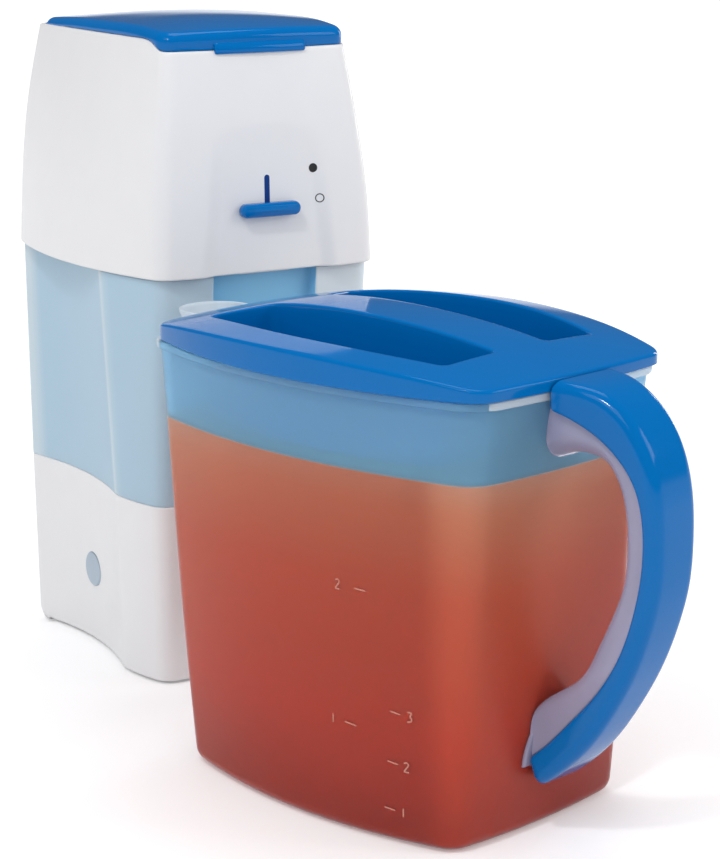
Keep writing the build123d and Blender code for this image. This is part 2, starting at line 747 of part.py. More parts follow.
SPOUT_TUBE_R = 5.4
SPOUT_TUBE_Z = 295.0
HEAD_REACH = 0.80               # share of the level run that ends at the spray head's wall
with BuildPart() as water_spout:
    with BuildLine() as spout_path:
        FilletPolyline(
            tower.from_local_coords((RISER_X, RISER_Y, FLOOR_Z + FLOOR_THICK)),
            tower.from_local_coords((RISER_X, RISER_Y, SPOUT_TUBE_Z)),
            tower.from_local_coords(
                (RISER_X * (1 - HEAD_REACH), RISER_Y * (1 - HEAD_REACH), SPOUT_TUBE_Z)
            ),
            radius=8,
        )
    with BuildSketch(Plane(spout_path.line @ 0, z_dir=spout_path.line % 0)):
        Circle(SPOUT_TUBE_R)
        Circle(SPOUT_TUBE_R - 1.1, mode=Mode.SUBTRACT)
    sweep(path=spout_path.line)
    with BuildSketch(tower.offset(FLOOR_Z + FLOOR_THICK)):
        with Locations((RISER_X, RISER_Y)):
            Circle(8.5)
            Circle(SPOUT_TUBE_R - 1.1, mode=Mode.SUBTRACT)
    extrude(amount=2)
finish(water_spout, "water_spout")

with BuildPart() as spray_head:
    with BuildSketch(side_view(tower)):
        with BuildLine():
            Polyline((0, 301.5), (12.5, 301.5), (17, 288), (0, 288), (0, 301.5))
        make_face()
    revolve(axis=Axis(tower.from_local_coords((0, 0, 0)), (0, 0, 1)), revolution_arc=360)
    with BuildSketch(tower.offset(290)):
        Circle(10.5)
    extrude(amount=10, mode=Mode.SUBTRACT)
    with BuildSketch(tower.offset(287)):
        with PolarLocations(8, 8):
            Circle(1.4)
        Circle(1.6)
    extrude(amount=4, mode=Mode.SUBTRACT)
    # socket that the tube's end enters
    socket_line = Vector(RISER_X, RISER_Y, 0).normalized()
    socket = Plane(tower.from_local_coords((0, 0, SPOUT_TUBE_Z)), x_dir=(0, 0, 1), z_dir=socket_line)
    with BuildSketch(socket):
        Circle(SPOUT_TUBE_R)
    extrude(amount=20, mode=Mode.SUBTRACT)
finish(spray_head, "spray_head")

# ---- strength slider: knob outside, gate inside
KNOB_BACK, KNOB_DEEP = -71.3, 5.6
KNOB_HALF, KNOB_HIGH = 14.0, 8.0

with BuildPart() as strength_knob:
    with BuildSketch(front_view(tower, KNOB_BACK)):
        with Locations((0, SLIDER_Z)):
            SlotOverall(2 * KNOB_HALF, KNOB_HIGH)
    extrude(amount=KNOB_DEEP)
    fillet(strength_knob.faces().sort_by(Axis.Y)[0].edges(), radius=3.4)
finish(strength_knob, "strength_knob")

GATE_FRONT, GATE_THICK = -64.6, 1.4
with BuildPart() as strength_gate:
    with BuildSketch(front_view(tower, GATE_FRONT + GATE_THICK)):
        with Locations((0, SLIDER_Z + 8)):
            Rectangle(18, 26)
    extrude(amount=GATE_THICK)
    with BuildSketch(front_view(tower, GATE_FRONT)):
        with Locations((0, SLIDER_Z)):
            Rectangle(2 * SLOT_HALF - 0.6, 3.2)
    extrude(amount=GATE_FRONT - KNOB_BACK)
finish(strength_gate, "strength_gate")

with BuildPart() as gate_guide:
    with BuildSketch(tower.offset(FLOOR_Z + FLOOR_THICK)):
        for side in (-1, 1):
            with Locations((side * 11.2, GATE_FRONT + GATE_THICK / 2)):
                Rectangle(4, 4)
            with Locations((side * 9.1, GATE_FRONT + GATE_THICK / 2)):
                Rectangle(1.2, GATE_THICK + 0.5, mode=Mode.SUBTRACT)
    extrude(amount=SLIDER_Z + 40 - FLOOR_Z - FLOOR_THICK)
    with BuildSketch(tower.offset(SLIDER_Z - 10)):
        with Locations((0, GATE_FRONT + GATE_THICK / 2)):
            Rectangle(26.4, 4)
    extrude(amount=2)
finish(gate_guide, "gate_guide")

# ======================================================================
# Tower lid
# ======================================================================
LID_REAR = 65.0
LID_STATIONS = [                # depth, shoulder height, ridge height, half width
    (LID_REAR, 305.4, 306.4, 47.4),
    (35.0, 307.0, 309.0, 48.2),
    (0.0, 307.4, 310.2, 48.6),
    (-40.0, 307.0, 309.0, 48.0),
    (-65.0, 304.6, 305.8, 46.8),
]
LID_SHOULDER = 4.5              # rounding along the lid's side edges
TAB_HALF = 23.0


def lid_arch(y, shoulder, ridge, half, drop=0.0, trim=0.0):
    """Cross-section of the lid's crown at one depth: upright sides, rounded into a low arch."""
    with BuildSketch(front_view(tower, y)) as section:
        with BuildLine():
            ThreePointArc((-half + trim, shoulder - drop), (0, ridge - drop), (half - trim, shoulder - drop))
            Polyline((half - trim, shoulder - drop), (half - trim, 290), (trim - half, 290),
                     (trim - half, shoulder - drop))
        make_face()
        fillet(section.vertices().group_by(Axis.Y)[-1], radius=LID_SHOULDER - trim / 2)
    return section.sketch


with BuildPart() as tower_lid:
    loft([lid_arch(*station) for station in LID_STATIONS])
    # underneath it follows the housing's top edge
    extrude(top_edge_region(0.1), amount=80, both=True, mode=Mode.INTERSECT)
    # the front edge is bowed like the housing below it
    with BuildSketch(tower.offset(285)):
        with BuildLine():
            Line((-47.9, LID_REAR), (47.9, LID_REAR))
            ThreePointArc((47.9, LID_REAR), (48.6, -14), (46.4, -60.8))
            ThreePointArc((46.4, -60.8), (0, -64.8), (-46.4, -60.8))
            ThreePointArc((-46.4, -60.8), (-48.6, -14), (-47.9, LID_REAR))
        make_face()
    extrude(amount=40, mode=Mode.INTERSECT)
    # hollow beneath the crown
    loft([lid_arch(*station, drop=2.2, trim=4.5) for station in
          [(LID_REAR - 4, 305.6, 306.7, 47.2), *LID_STATIONS[1:-1], (-58.5, 305.2, 306.4, 46.8)]],
         mode=Mode.SUBTRACT)
    # thumb tab under the front edge
    with BuildSketch(side_view(tower)):
        with BuildLine():
            Polyline((-60, 297.5), (-60, 300), (-64.4, 300), (-66.5, 298.6), (-67, 296.2), (-66.6, 295.6),
                     (-65.8, 295.6), (-65.5, 297.5), (-60, 297.5))
        make_face()
    extrude(amount=TAB_HALF, both=True)
    # knuckle that turns on the pin
    with BuildSketch(side_view(tower)):
        with Locations((HINGE_Y, HINGE_Z)):
            Circle(KNUCKLE_R)
        with BuildLine():
            Polyline((LID_REAR - 1, 303.9), (LID_REAR - 1, 302.5), (HINGE_Y - 1.5, HINGE_Z - 0.5),
                     (HINGE_Y, HINGE_Z + KNUCKLE_R), (LID_REAR - 1, 303.9))
        make_face()
    extrude(amount=LID_KNUCKLE_HALF, both=True)
    with BuildSketch(side_view(tower)):
        with Locations((HINGE_Y, HINGE_Z)):
            Circle(HINGE_PIN_R + 0.06)
    extrude(amount=LID_KNUCKLE_HALF + 1, both=True, mode=Mode.SUBTRACT)
finish(tower_lid, "tower_lid")

# ======================================================================
# Pitcher
# ======================================================================
FLANGE_LOW = RIM - 3.6
FLANGE_OUT = 1.6
BOTTOM_RADIUS = 6.5


def spout_section(z, x, radius):
    """Round-nosed cross-section of the spout, running back through the end wall."""
    run = SPOUT_ROOT_X - x
    with BuildSketch(pitcher.offset(z)) as section:
        with Locations((x + run / 2, 0)):
            SlotCenterToCenter(run, 2 * radius)
    return section.sketch


LIP_ROOT_X = -99.2              # just beyond the lid's edge
SPOUT_ROOT_X = -78.0            # inside the end wall
SPOUT_STATIONS = [(112.0, -84.0, 6.0), (150.0, -95.5, 12.0), (SPOUT_TOP, SPOUT_X, SPOUT_R)]

with BuildPart() as pitcher_room:
    low, *upper, top = PITCHER_LEVELS
    loft(
        [pitcher_outline(replace(low, z=PITCHER_FLOOR), PITCHER_WALL)]
        + [pitcher_outline(level, PITCHER_WALL) for level in upper]
        + [pitcher_outline(replace(top, z=RIM + 4), PITCHER_WALL)],
    )
    fillet(pitcher_room.faces().sort_by(Axis.Z)[0].edges(), radius=BOTTOM_RADIUS - PITCHER_WALL)

with BuildPart() as pitcher_body:
    loft([pitcher_outline(level) for level in PITCHER_LEVELS])
    fillet(pitcher_body.faces().sort_by(Axis.Z)[0].edges(), radius=BOTTOM_RADIUS)
    loft([spout_section(*station) for station in SPOUT_STATIONS])
    # the spout's lip rises only beyond the lid's edge
    with BuildSketch(front_view(pitcher)):
        with BuildLine():
            Polyline((-60, RIM), (LIP_ROOT_X, RIM), (LIP_ROOT_X - 2, SPOUT_TOP), (LIP_ROOT_X - 2, SPOUT_TOP + 5),
                     (-60, SPOUT_TOP + 5), (-60, RIM))
        make_face()
    extrude(amount=30, both=True, mode=Mode.SUBTRACT)
    # rim flange
    flange_level = replace(PITCHER_LEVELS[-1], z=FLANGE_LOW)
    extrude(pitcher_outline(flange_level, -FLANGE_OUT), amount=RIM - FLANGE_LOW)
    # hollow
    add(pitcher_room.part, mode=Mode.SUBTRACT)
    loft(
        [spout_section(z + (2 if z == SPOUT_TOP else 0), x, radius - PITCHER_WALL)
         for z, x, radius in SPOUT_STATIONS],
        mode=Mode.SUBTRACT,
    )
finish(pitcher_body, "pitcher_body")

LID_PLAN = PitcherLevel(RIM + 0.3, 91.6, 92.2, 54.2, 19.0, 7.0)


def lid_outline(z, inset=0.0):
    """Plan of the pitcher's lid at a height, drawn in by an inset."""
    return barrel_outline(
        pitcher.offset(z), LID_PLAN.spout_end, LID_PLAN.handle_end, LID_PLAN.corner_y, LID_PLAN.swell,
        LID_PLAN.radius, inset,
    )


# ---- handle: a frosted core with a snap-on grip outside it
HANDLE_STATIONS = [             # outer (x, z), seam (x, z), inner (x, z), half width
    ((97.0, 189.2), (91.0, 178.6), (88.0, 157.0), 19.0),
    ((106.0, 188.6), (99.5, 176.2), (98.5, 160.6), 17.4),
    ((117.0, 186.0), (110.5, 172.4), (108.5, 160.6), 15.0),
    ((127.2, 180.9), (119.5, 167.7), (115.6, 158.0), 13.7),
    ((134.6, 173.0), (127.0, 161.4), (121.1, 152.7), 13.3),
    ((139.8, 162.6), (131.8, 154.0), (125.0, 146.2), 13.1),
    ((142.8, 148.6), (135.6, 144.0), (127.6, 138.0), 13.0),
    ((143.2, 131.6), (137.2, 130.0), (128.3, 128.0), 12.8),
    ((141.4, 115.5), (136.2, 116.0), (127.4, 116.4), 12.6),
    ((137.3, 98.6), (132.4, 100.2), (123.0, 103.6), 12.2),
    ((129.1, 80.5), (124.6, 82.4), (115.4, 88.6), 11.8),
    ((118.2, 62.8), (113.8, 65.2), (106.0, 73.6), 11.2),
    ((105.3, 47.0), (101.2, 50.6), (95.0, 65.0), 10.5),
    ((94.5, 32.8), (90.0, 39.0), (86.6, 54.6), 9.6),
    ((86.0, 20.6), (80.6, 29.6), (79.0, 42.0), 8.6),
]
CORE_GAP = 0.15                 # clearance between grip and core
CORE_NARROWER = 2.4
LID_CLEARANCE = 0.5


def handle_section(outer, inner, near, far, half_width, radius):
    """Rounded rectangle across the handle, between two distances from its outer and inner line."""
    across = Vector(inner[0] - outer[0], inner[1] - outer[1], 0)
    thick = across.length - near - far
    middle = Vector(*outer) + across.normalized() * (near + thick / 2)
    direction = pitcher.x_dir * across.X + pitcher.z_dir * across.Y
    plane = Plane(
        origin=pitcher.from_local_coords((middle.X, 0, middle.Y)),
        x_dir=pitcher.y_dir,
        z_dir=pitcher.y_dir.cross(direction.normalized()),
    )
    with BuildSketch(plane) as section:
        RectangleRounded(2 * half_width, thick, min(radius, thick / 2 - 0.1))
    return section.sketch


with BuildPart() as handle_grip:
    loft([handle_section(outer, seam, 0, 0, half, 2.8) for outer, seam, inner, half in HANDLE_STATIONS])
    loft([pitcher_outline(level, -FLANGE_OUT - 0.4) for level in PITCHER_LEVELS], mode=Mode.SUBTRACT)
    # its top stops just outside the lid
    extrude(lid_outline(RIM - 0.3, -LID_CLEARANCE), amount=20, mode=Mode.SUBTRACT)
finish(handle_grip, "handle_grip")

with BuildPart() as handle_core:
    loft([handle_section(seam, inner, CORE_GAP, 0, half - CORE_NARROWER, 1.4)
          for outer, seam, inner, half in HANDLE_STATIONS])
    loft([pitcher_outline(level) for level in PITCHER_LEVELS], mode=Mode.SUBTRACT)
    extrude(pitcher_outline(replace(flange_level, z=FLANGE_LOW - 0.2), -FLANGE_OUT - 0.2), amount=10,
            mode=Mode.SUBTRACT)
finish(handle_core, "handle_core")

# ======================================================================
# Pitcher lid
# ======================================================================
LID_FLOOR = 157.0
WELL_INNER, WELL_OUTER = 15.0, 58.0
WELL_SPOUT_END, WELL_HANDLE_END = -78.0, 66.0
WELL_RADIUS, WELL_HANDLE_RADIUS = 6.0, 2.5
RAMP_FOOT = -52.0
PITCHER_LID_STATIONS = [        # x, edge height, middle height
    (-104.0, 188.2, 189.8),
    (-60.0, 192.6, 199.0),
    (0.0, 195.6, 201.8),
    (60.0, 192.2, 196.8),
    (104.0, 187.2, 188.6),
]


def lid_crown_section(x, edge, middle, drop=0.0):
    """Arched cross-section of the pitcher lid at one place along it."""
    with BuildSketch(side_view(pitcher, x)) as section:
        with BuildLine():
            ThreePointArc((-80, edge - drop), (0, middle - drop), (80, edge - drop))
            Polyline((80, edge - drop), (80, 120), (-80, 120), (-80, edge - drop))
        make_face()
    return section.sketch


def well_outline(side, grow=0.0, z=LID_FLOOR):
    """Plan of a finger well: bowed outer side, straight side along the bar."""
    inner = WELL_INNER - grow
    outer = WELL_OUTER + grow
    left = WELL_SPOUT_END - grow
    right = WELL_HANDLE_END + grow
    with BuildSketch(pitcher.offset(z)) as outline:
        with BuildLine():
            Line((left, side * inner), (right, side * inner))
            Line((right, side * inner), (right, side * (outer - 14)))
            ThreePointArc((right, side * (outer - 14)), (0, side * outer), (left, side * (outer - 18)))
            Line((left, side * (outer - 18)), (left, side * inner))
        make_face()
        near_spout, near_handle = outline.vertices().group_by(Axis.X)
        fillet(near_spout, radius=WELL_RADIUS + grow)
        fillet(near_handle, radius=WELL_HANDLE_RADIUS + grow)
    return outline.sketch


with BuildPart() as pitcher_lid:
    loft([lid_crown_section(*station) for station in PITCHER_LID_STATIONS])
    extrude(lid_outline(LID_PLAN.z), amount=30, mode=Mode.INTERSECT)
    # hollow under the crown
    crown_inside = loft([lid_crown_section(*station, drop=LID_WALL) for station in PITCHER_LID_STATIONS],
                        mode=Mode.PRIVATE)
    inner_plan = extrude(lid_outline(LID_PLAN.z - 1, LID_WALL), amount=30, mode=Mode.PRIVATE)
    add(crown_inside & inner_plan, mode=Mode.SUBTRACT)
    # the two wells: tubs hanging from the crown
    crown = loft([lid_crown_section(*station) for station in PITCHER_LID_STATIONS], mode=Mode.PRIVATE)
    for side in (-1, 1):
        tub = extrude(well_outline(side, LID_WALL, LID_FLOOR - LID_WALL), amount=60, mode=Mode.PRIVATE)
        add(tub & crown)
    for side in (-1, 1):
        extrude(well_outline(side), amount=60, mode=Mode.SUBTRACT)
    # ramps at the spout end of each well
    for side in (-1, 1):
        with BuildSketch(front_view(pitcher, 0)):
            with BuildLine():
                Polyline((WELL_SPOUT_END - 1, LID_FLOOR - 1), (WELL_SPOUT_END - 1, 190.5), (RAMP_FOOT, 178),
                         (RAMP_FOOT, LID_FLOOR - 1), (WELL_SPOUT_END - 1, LID_FLOOR - 1))
            make_face()
        ramp = extrude(amount=80, both=True, mode=Mode.PRIVATE)
        ramp_plan = extrude(well_outline(side, 0.4, LID_FLOOR - 1), amount=60, mode=Mode.PRIVATE)
        add(ramp & ramp_plan)
finish(pitcher_lid, "pitcher_lid")
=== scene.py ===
import math
import bmesh
import bpy
import numpy as np
from mathutils import Matrix, Vector


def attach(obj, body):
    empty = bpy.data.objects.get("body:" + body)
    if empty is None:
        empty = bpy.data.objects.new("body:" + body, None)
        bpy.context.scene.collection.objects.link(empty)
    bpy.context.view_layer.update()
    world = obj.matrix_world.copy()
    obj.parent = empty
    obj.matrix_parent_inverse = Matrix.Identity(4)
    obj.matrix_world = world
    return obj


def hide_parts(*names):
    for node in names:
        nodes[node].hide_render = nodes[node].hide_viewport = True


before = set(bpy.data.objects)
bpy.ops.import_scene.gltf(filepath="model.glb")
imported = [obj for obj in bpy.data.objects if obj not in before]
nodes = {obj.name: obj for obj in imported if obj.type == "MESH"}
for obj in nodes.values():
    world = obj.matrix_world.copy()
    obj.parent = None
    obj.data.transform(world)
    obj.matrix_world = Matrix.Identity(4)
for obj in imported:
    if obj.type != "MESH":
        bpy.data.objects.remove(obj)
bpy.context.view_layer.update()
print("frame loaded:", len(nodes), "pieces")

scene = bpy.context.scene
scene.view_settings.view_transform = "Standard"

# where the two units stand, in millimetres, and how far each is turned
towerSpot = {"x": 10.9, "y": 139.5, "turn": 0.0}
pitcherSpot = {"x": -2.8, "y": -71.6, "turn": -75.3}


# numbers and curves
def splineThrough(knots, values, at):
    # Natural cubic spline: its second derivatives solve the three-term equations and are zero at both ends.
    knots, values = np.asarray(knots, float), np.asarray(values, float)
    at = np.clip(at, knots[0], knots[-1])
    h, n = np.diff(knots), len(knots)
    system, right, k = np.eye(n), np.zeros_like(values), np.arange(1, n - 1)
    system[k, k - 1], system[k, k], system[k, k + 1] = h[:-1], 2 * (h[:-1] + h[1:]), h[1:]
    right[1:-1] = 6 * np.diff(np.diff(values, axis=0) / h[:, None], axis=0)
    bend = np.linalg.solve(system, right)
    i = np.clip(np.searchsorted(knots, at) - 1, 0, n - 2)
    a = ((knots[i + 1] - at) / h[i])[:, None]
    b = 1 - a
    return (a * values[i] + b * values[i + 1]
            + ((a**3 - a) * bend[i] + (b**3 - b) * bend[i + 1]) * h[i][:, None] ** 2 / 6)


def easeStep(t):
    # smooth step from 0 to 1: three t squared minus two t cubed
    t = np.clip(t, 0, 1)
    return t * t * (3 - 2 * t)


def bowedRing(corners, through, cuts, sideSteps, cornerSteps=7):
    # Each side is the parabola through its two corners and one point between them. A cubic Bezier curve
    # with handles of 0.55 rounds each corner over its cut length. All heights are worked out together.
    # Corners, points between and cuts come one for each corner, each a number for every height.
    corners, through = (np.stack([np.stack(p, -1) for p in points], 1) for points in (corners, through))
    cuts = np.stack([cut + 0 * corners[:, 0, 0] for cut in cuts], 1)
    ends = np.roll(corners, -1, axis=1)
    chord = ends - corners
    length = np.linalg.norm(chord, axis=-1)
    middle = ((through - corners) * chord).sum(-1) / length**2
    first, last = cuts / length, 1 - np.roll(cuts, -1, axis=1) / length

    def side(k, t):
        m = middle[:, k, None]
        weights = np.stack([(t - m) * (t - 1) / m, t * (t - 1) / (m * (m - 1)), t * (t - m) / (1 - m)], -1)
        return np.einsum("lnw,lwc->lnc", weights, np.stack([corners[:, k], through[:, k], ends[:, k]], 1))

    u, parts = np.linspace(0, 1, cornerSteps)[None, :, None], []
    for k in range(corners.shape[1]):
        start, stop, tip = side(k - 1, last[:, k - 1, None]), side(k, first[:, k, None]), corners[:, k, None]
        handleA, handleB = start + 0.55 * (tip - start), stop + 0.55 * (tip - stop)
        parts.append((1 - u)**3 * start + 3 * (1 - u)**2 * u * handleA
                     + 3 * (1 - u) * u * u * handleB + u**3 * stop)
        along = np.linspace(0, 1, sideSteps[k] + 1)[None, 1:-1]
        parts.append(side(k, first[:, k, None] + (last - first)[:, k, None] * along))
    return np.concatenate(parts, axis=1)


def bothSides(right):
    # points of the right side, then their mirror images in the other order
    return right + [(-x, y) for x, y in right[::-1]]


def withHeight(flat, z):
    # adds the height to points in plan, one height for each row or for each point
    z = np.asarray(z, float)
    z = z[:, None] if z.ndim == 1 else z
    return np.concatenate([flat, np.broadcast_to(z, flat.shape[:2])[..., None]], -1)


def arcRows(z, inset, radius, start, stop, steps):
    # rows of (height, inset) on a quarter round about a centre, angles from the outside upward
    a = np.radians(np.linspace(start, stop, steps))
    return [(z + radius * s, inset - radius * c) for s, c in zip(np.sin(a), np.cos(a))]


def straightRows(inset, start, stop, steps):
    # rows of (height, inset, share) up or down a straight wall
    return [(z, inset, 1.0) for z in np.linspace(start, stop, steps)]


capShares = (0.0, 0.3, 0.6, 0.85, 1.0)   # shares of the outline in the rows that close an end


def placed(points, spot):
    # turns points in millimetres about the upright axis and shifts them to the unit's place, in metres
    a = math.radians(spot["turn"])
    x = spot["x"] + points[..., 0] * math.cos(a) - points[..., 1] * math.sin(a)
    y = spot["y"] + points[..., 0] * math.sin(a) + points[..., 1] * math.cos(a)
    return np.stack([x, y, points[..., 2]], axis=-1) * 0.001


def buildPiece(name, grids, spot, sharp=32.0):
    # Each grid is (points, rows close, columns close). Neighbours become quads, doubles merge, and the
    # faces are turned outward.
    verts, faces, start = [], [], 0
    for points, closeRows, closeColumns in grids:
        rows, columns = points.shape[:2]
        i = np.arange(rows if closeRows else rows - 1)[:, None]
        j = np.arange(columns if closeColumns else columns - 1)[None, :]
        below, beside = (i + 1) % rows, (j + 1) % columns
        quads = np.stack(np.broadcast_arrays(i * columns + j, i * columns + beside, below * columns + beside,
                                             below * columns + j), -1)
        faces.append(quads.reshape(-1, 4) + start)
        verts.append(placed(points, spot).reshape(-1, 3))
        start += rows * columns
    mesh = bpy.data.meshes.new(name)
    mesh.from_pydata(np.concatenate(verts).tolist(), [], np.concatenate(faces).tolist())
    work = bmesh.new()
    work.from_mesh(mesh)
    bmesh.ops.remove_doubles(work, verts=work.verts, dist=1.5e-5)
    bmesh.ops.delete(work, geom=[v for v in work.verts if not v.link_faces], context="VERTS")
    bmesh.ops.recalc_face_normals(work, faces=work.faces)
    work.to_mesh(mesh)
    work.free()
    mesh.shade_smooth()
    mesh.set_sharp_from_angle(angle=math.radians(sharp))
    piece = bpy.data.objects.new(name, mesh)
    scene.collection.objects.link(piece)
    return piece


def dress(piece, material, body=None, replaces=()):
    # gives a piece its finish, attaches it to the body it rides on and hides the CAD nodes it stands for
    piece.data.materials.clear()
    piece.data.materials.append(material)
    if body:
        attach(piece, body)
    if replaces:
        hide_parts(*replaces)


def paintFaces(piece, material, chosen):
    # gives the faces whose middle, in millimetres, is chosen another finish
    mesh = piece.data
    mesh.materials.append(material)
    centres = np.empty(len(mesh.polygons) * 3)
    indices = np.empty(len(mesh.polygons), np.int32)
    mesh.polygons.foreach_get("center", centres)
    mesh.polygons.foreach_get("material_index", indices)
    x, y, z = centres.reshape(-1, 3).T * 1000
    mesh.polygons.foreach_set("material_index", np.where(chosen(x, y, z), len(mesh.materials) - 1, indices))


# finishes
def linearColour(hexCode):
    # sRGB hex value to linear light, opaque
    parts = [int(hexCode[i:i + 2], 16) / 255 for i in (1, 3, 5)]
    return [p / 12.92 if p <= 0.04045 else ((p + 0.055) / 1.055) ** 2.4 for p in parts] + [1.0]


def addNode(tree, kind, options=None, values=None, links=None):
    # one shader node with its options, its input values and its links from (node, output)
    node = tree.nodes.new("ShaderNode" + kind)
    for key, value in (options or {}).items():
        setattr(node, key, value)
    for key, value in (values or {}).items():
        node.inputs[key].default_value = value
    for key, (source, output) in (links or {}).items():
        tree.links.new(source.outputs[output], node.inputs[key])
    return node


def newFinish(name):
    # an empty material with its tree and the object's own coordinates
    material = bpy.data.materials.new(name)
    material.use_nodes = True
    return material, material.node_tree, addNode(material.node_tree, "TexCoord")


def patternedSurface(tree, tones, colours, skin, bump, depth, roughness):
    # One pattern mixes two colours and two roughnesses, and another raises the skin. The depth is in
    # millimetres.
    shader = tree.nodes["Principled BSDF"]
    tone = addNode(tree, "Mix", {"data_type": "RGBA"}, dict(zip((6, 7), colours)), {0: (tones, "Fac")})
    relief = addNode(tree, "Bump", values={"Strength": bump, "Distance": depth / 1000},
                     links={"Height": (skin, "Fac")})
    polish = addNode(tree, "MapRange", values=dict(zip(("To Min", "To Max"), roughness)),
                     links={"Value": (tones, "Fac")})
    tree.links.new(tone.outputs[2], shader.inputs["Base Color"])
    tree.links.new(relief.outputs["Normal"], shader.inputs["Normal"])
    tree.links.new(polish.outputs["Result"], shader.inputs["Roughness"])
    return shader


def mouldedFinish(name, colour, deeper, roughness, blotch=14.0, grain=0.5, depth=0.012, spread=0.04,
                  **shaderValues):
    # Moulded plastic or rubber: two close tones in soft blotches, a fine skin from the mould and a roughness
    # that wanders a little. Sizes in millimetres.
    material, tree, place = newFinish(name)
    clouds, skin = (addNode(tree, "TexNoise", values={"Scale": 1000 / size, "Detail": detail},
                            links={"Vector": (place, "Object")}) for size, detail in ((blotch, 3.0), (grain, 2.0)))
    shader = patternedSurface(tree, clouds, (linearColour(colour), linearColour(deeper)), skin, 0.35, depth,
                              (roughness - spread, roughness + spread))
    for key, value in shaderValues.items():
        shader.inputs[key.replace("_", " ")].default_value = value
    return material


def paintedLightBands(material, axis, stops):
    # Multiplies a finish by tones that change along one axis of the object: painted light and shade in bands.
    # Each stop is (millimetres, colour).
    tree = material.node_tree
    shader = tree.nodes["Principled BSDF"]
    source = shader.inputs["Base Color"].links[0].from_socket
    place = addNode(tree, "TexCoord")
    axes = addNode(tree, "SeparateXYZ", links={"Vector": (place, "Object")})
    low, high = stops[0][0], stops[-1][0]
    along = addNode(tree, "MapRange", values={"From Min": low / 1000, "From Max": high / 1000},
                    links={"Value": (axes, axis)})
    ramp = addNode(tree, "ValToRGB", links={"Fac": (along, "Result")})
    marks = ramp.color_ramp.elements
    while len(marks) < len(stops):
        marks.new(0.5)
    for mark, (at, colour) in zip(marks, stops):
        mark.position, mark.color = (at - low) / (high - low), linearColour(colour)
    mixed = addNode(tree, "Mix", {"data_type": "RGBA", "blend_type": "MULTIPLY"}, {0: 1.0},
                    {7: (ramp, "Color")})
    tree.links.new(source, mixed.inputs[6])
    tree.links.new(mixed.outputs[2], shader.inputs["Base Color"])


def metalFinish(name, colour, roughness, stretch=(1.0, 1.0, 1.0), line=0.3, depth=0.01):
    # Metal with fine lines or a cast grain: noise stretched along one axis gives the tool or casting marks.
    material, tree, place = newFinish(name)
    turned = addNode(tree, "Mapping", values={"Scale": stretch}, links={"Vector": (place, "Object")})
    lines = addNode(tree, "TexNoise", values={"Scale": 1000 / line, "Detail": 4.0},
                    links={"Vector": (turned, "Vector")})
    bright = linearColour(colour)
    dark = [part * 0.82 for part in bright[:3]] + [1.0]
    shader = patternedSurface(tree, lines, (bright, dark), lines, 0.4, depth, (roughness - 0.06, roughness + 0.08))
    shader.inputs["Metallic"].default_value = 1.0
    return material


# ABS, injection moulded in a polished tool: deep even blue with sharp soft-edged highlights
blueAbs = mouldedFinish("glossBlueAbs", "#006CB6", "#0068B0", 0.085, blotch=60.0, grain=3.0, depth=0.002,
                        spread=0.015, Specular_IOR_Level=0.18)
# ABS, injection moulded: bright neutral white, glossy, hardly any grain
whiteAbs = mouldedFinish("glossWhiteAbs", "#E9E9EB", "#E6E6E8", 0.32, grain=2.0, depth=0.0015, spread=0.03,
                         Specular_IOR_Level=0.35)
# ABS with an unpolished tool side: the same white, dull
whiteDull = mouldedFinish("dullWhiteAbs", "#DCDDE0", "#D3D4D8", 0.6, grain=0.8, depth=0.04)
# polypropylene, moulded: slightly waxy white
whiteWaxy = mouldedFinish("waxyPolypropylene", "#E4E5E6", "#DCDDDF", 0.4, depth=0.015, Subsurface_Weight=0.08)
# natural rubber feet, compression moulded: near black and dull
blackRubber = mouldedFinish("footRubber", "#1D1D1F", "#141416", 0.75, grain=0.35, depth=0.05)
# pale elastomer seals and gland
paleRubber = mouldedFinish("paleElastomer", "#D9DBDF", "#CDD0D5", 0.6, grain=0.4, depth=0.03)
# ABS with a pearl pigment, satin: pale silver blue
silverAbs = mouldedFinish("pearlSilverAbs", "#A9B8C6", "#9DADBC", 0.32, grain=0.3, depth=0.008, spread=0.03,
                          Metallic=0.35)
# glass-filled nylon switch housing: black with a slight grain
blackNylon = mouldedFinish("switchNylon", "#1A1A1C", "#222225", 0.5, grain=0.3, depth=0.03)
# acrylic lens, dyed amber
amberLens = mouldedFinish("amberAcrylic", "#F0A040", "#E08C2C", 0.15, Transmission_Weight=0.7, IOR=1.49)
# SAN tank wall, moulded and lightly tinted: milky pale blue, light passes but shapes blur
tankSan = mouldedFinish("tintedTankSan", "#FBFDFE", "#F6FAFD", 0.33, blotch=40.0, grain=3.0, depth=0.006,
                        Transmission_Weight=0.2, IOR=1.3)
# painted light: the tank wall is whiter along the side crease and at the rear corners as painted highlights, and
# whiter on its right part against the shade that falls there
paintedLightBands(tankSan, "Y", [(70, "#F4FAFD"), (76, "#E3F1F9"), (106, "#DDEDF8"), (111, "#E8F4FA"), (114, "#FFFFFF"),
                         (117, "#D9ECF8"), (196, "#DFEFF9"), (204, "#FFFFFF"), (211, "#FFFFFF")])
paintedLightBands(tankSan, "X", [(-60, "#DEECF4"), (20, "#DCEBF4"), (36, "#FFFFFF"), (76, "#FFFFFF")])
# the same SAN in the docking recess, where two walls lie behind one another: deeper blue, with painted light, a
# brighter cyan that makes up for the recess's shade
tankDeepPaintedLight = mouldedFinish("deepTankSanPaintedLight", "#94D6FC", "#8ED2FA", 0.33, blotch=40.0, grain=3.0, depth=0.006,
                         Transmission_Weight=0.15, IOR=1.3)
# SAN pitcher wall, moulded: clear with a blue cast, softly frosted inside so things behind it blur
pitcherSan = mouldedFinish("tintedPitcherSan", "#F0F7FD", "#EAF4FC", 0.31, blotch=40.0, grain=3.0, depth=0.004,
                           spread=0.03, Transmission_Weight=0.985, IOR=1.22)
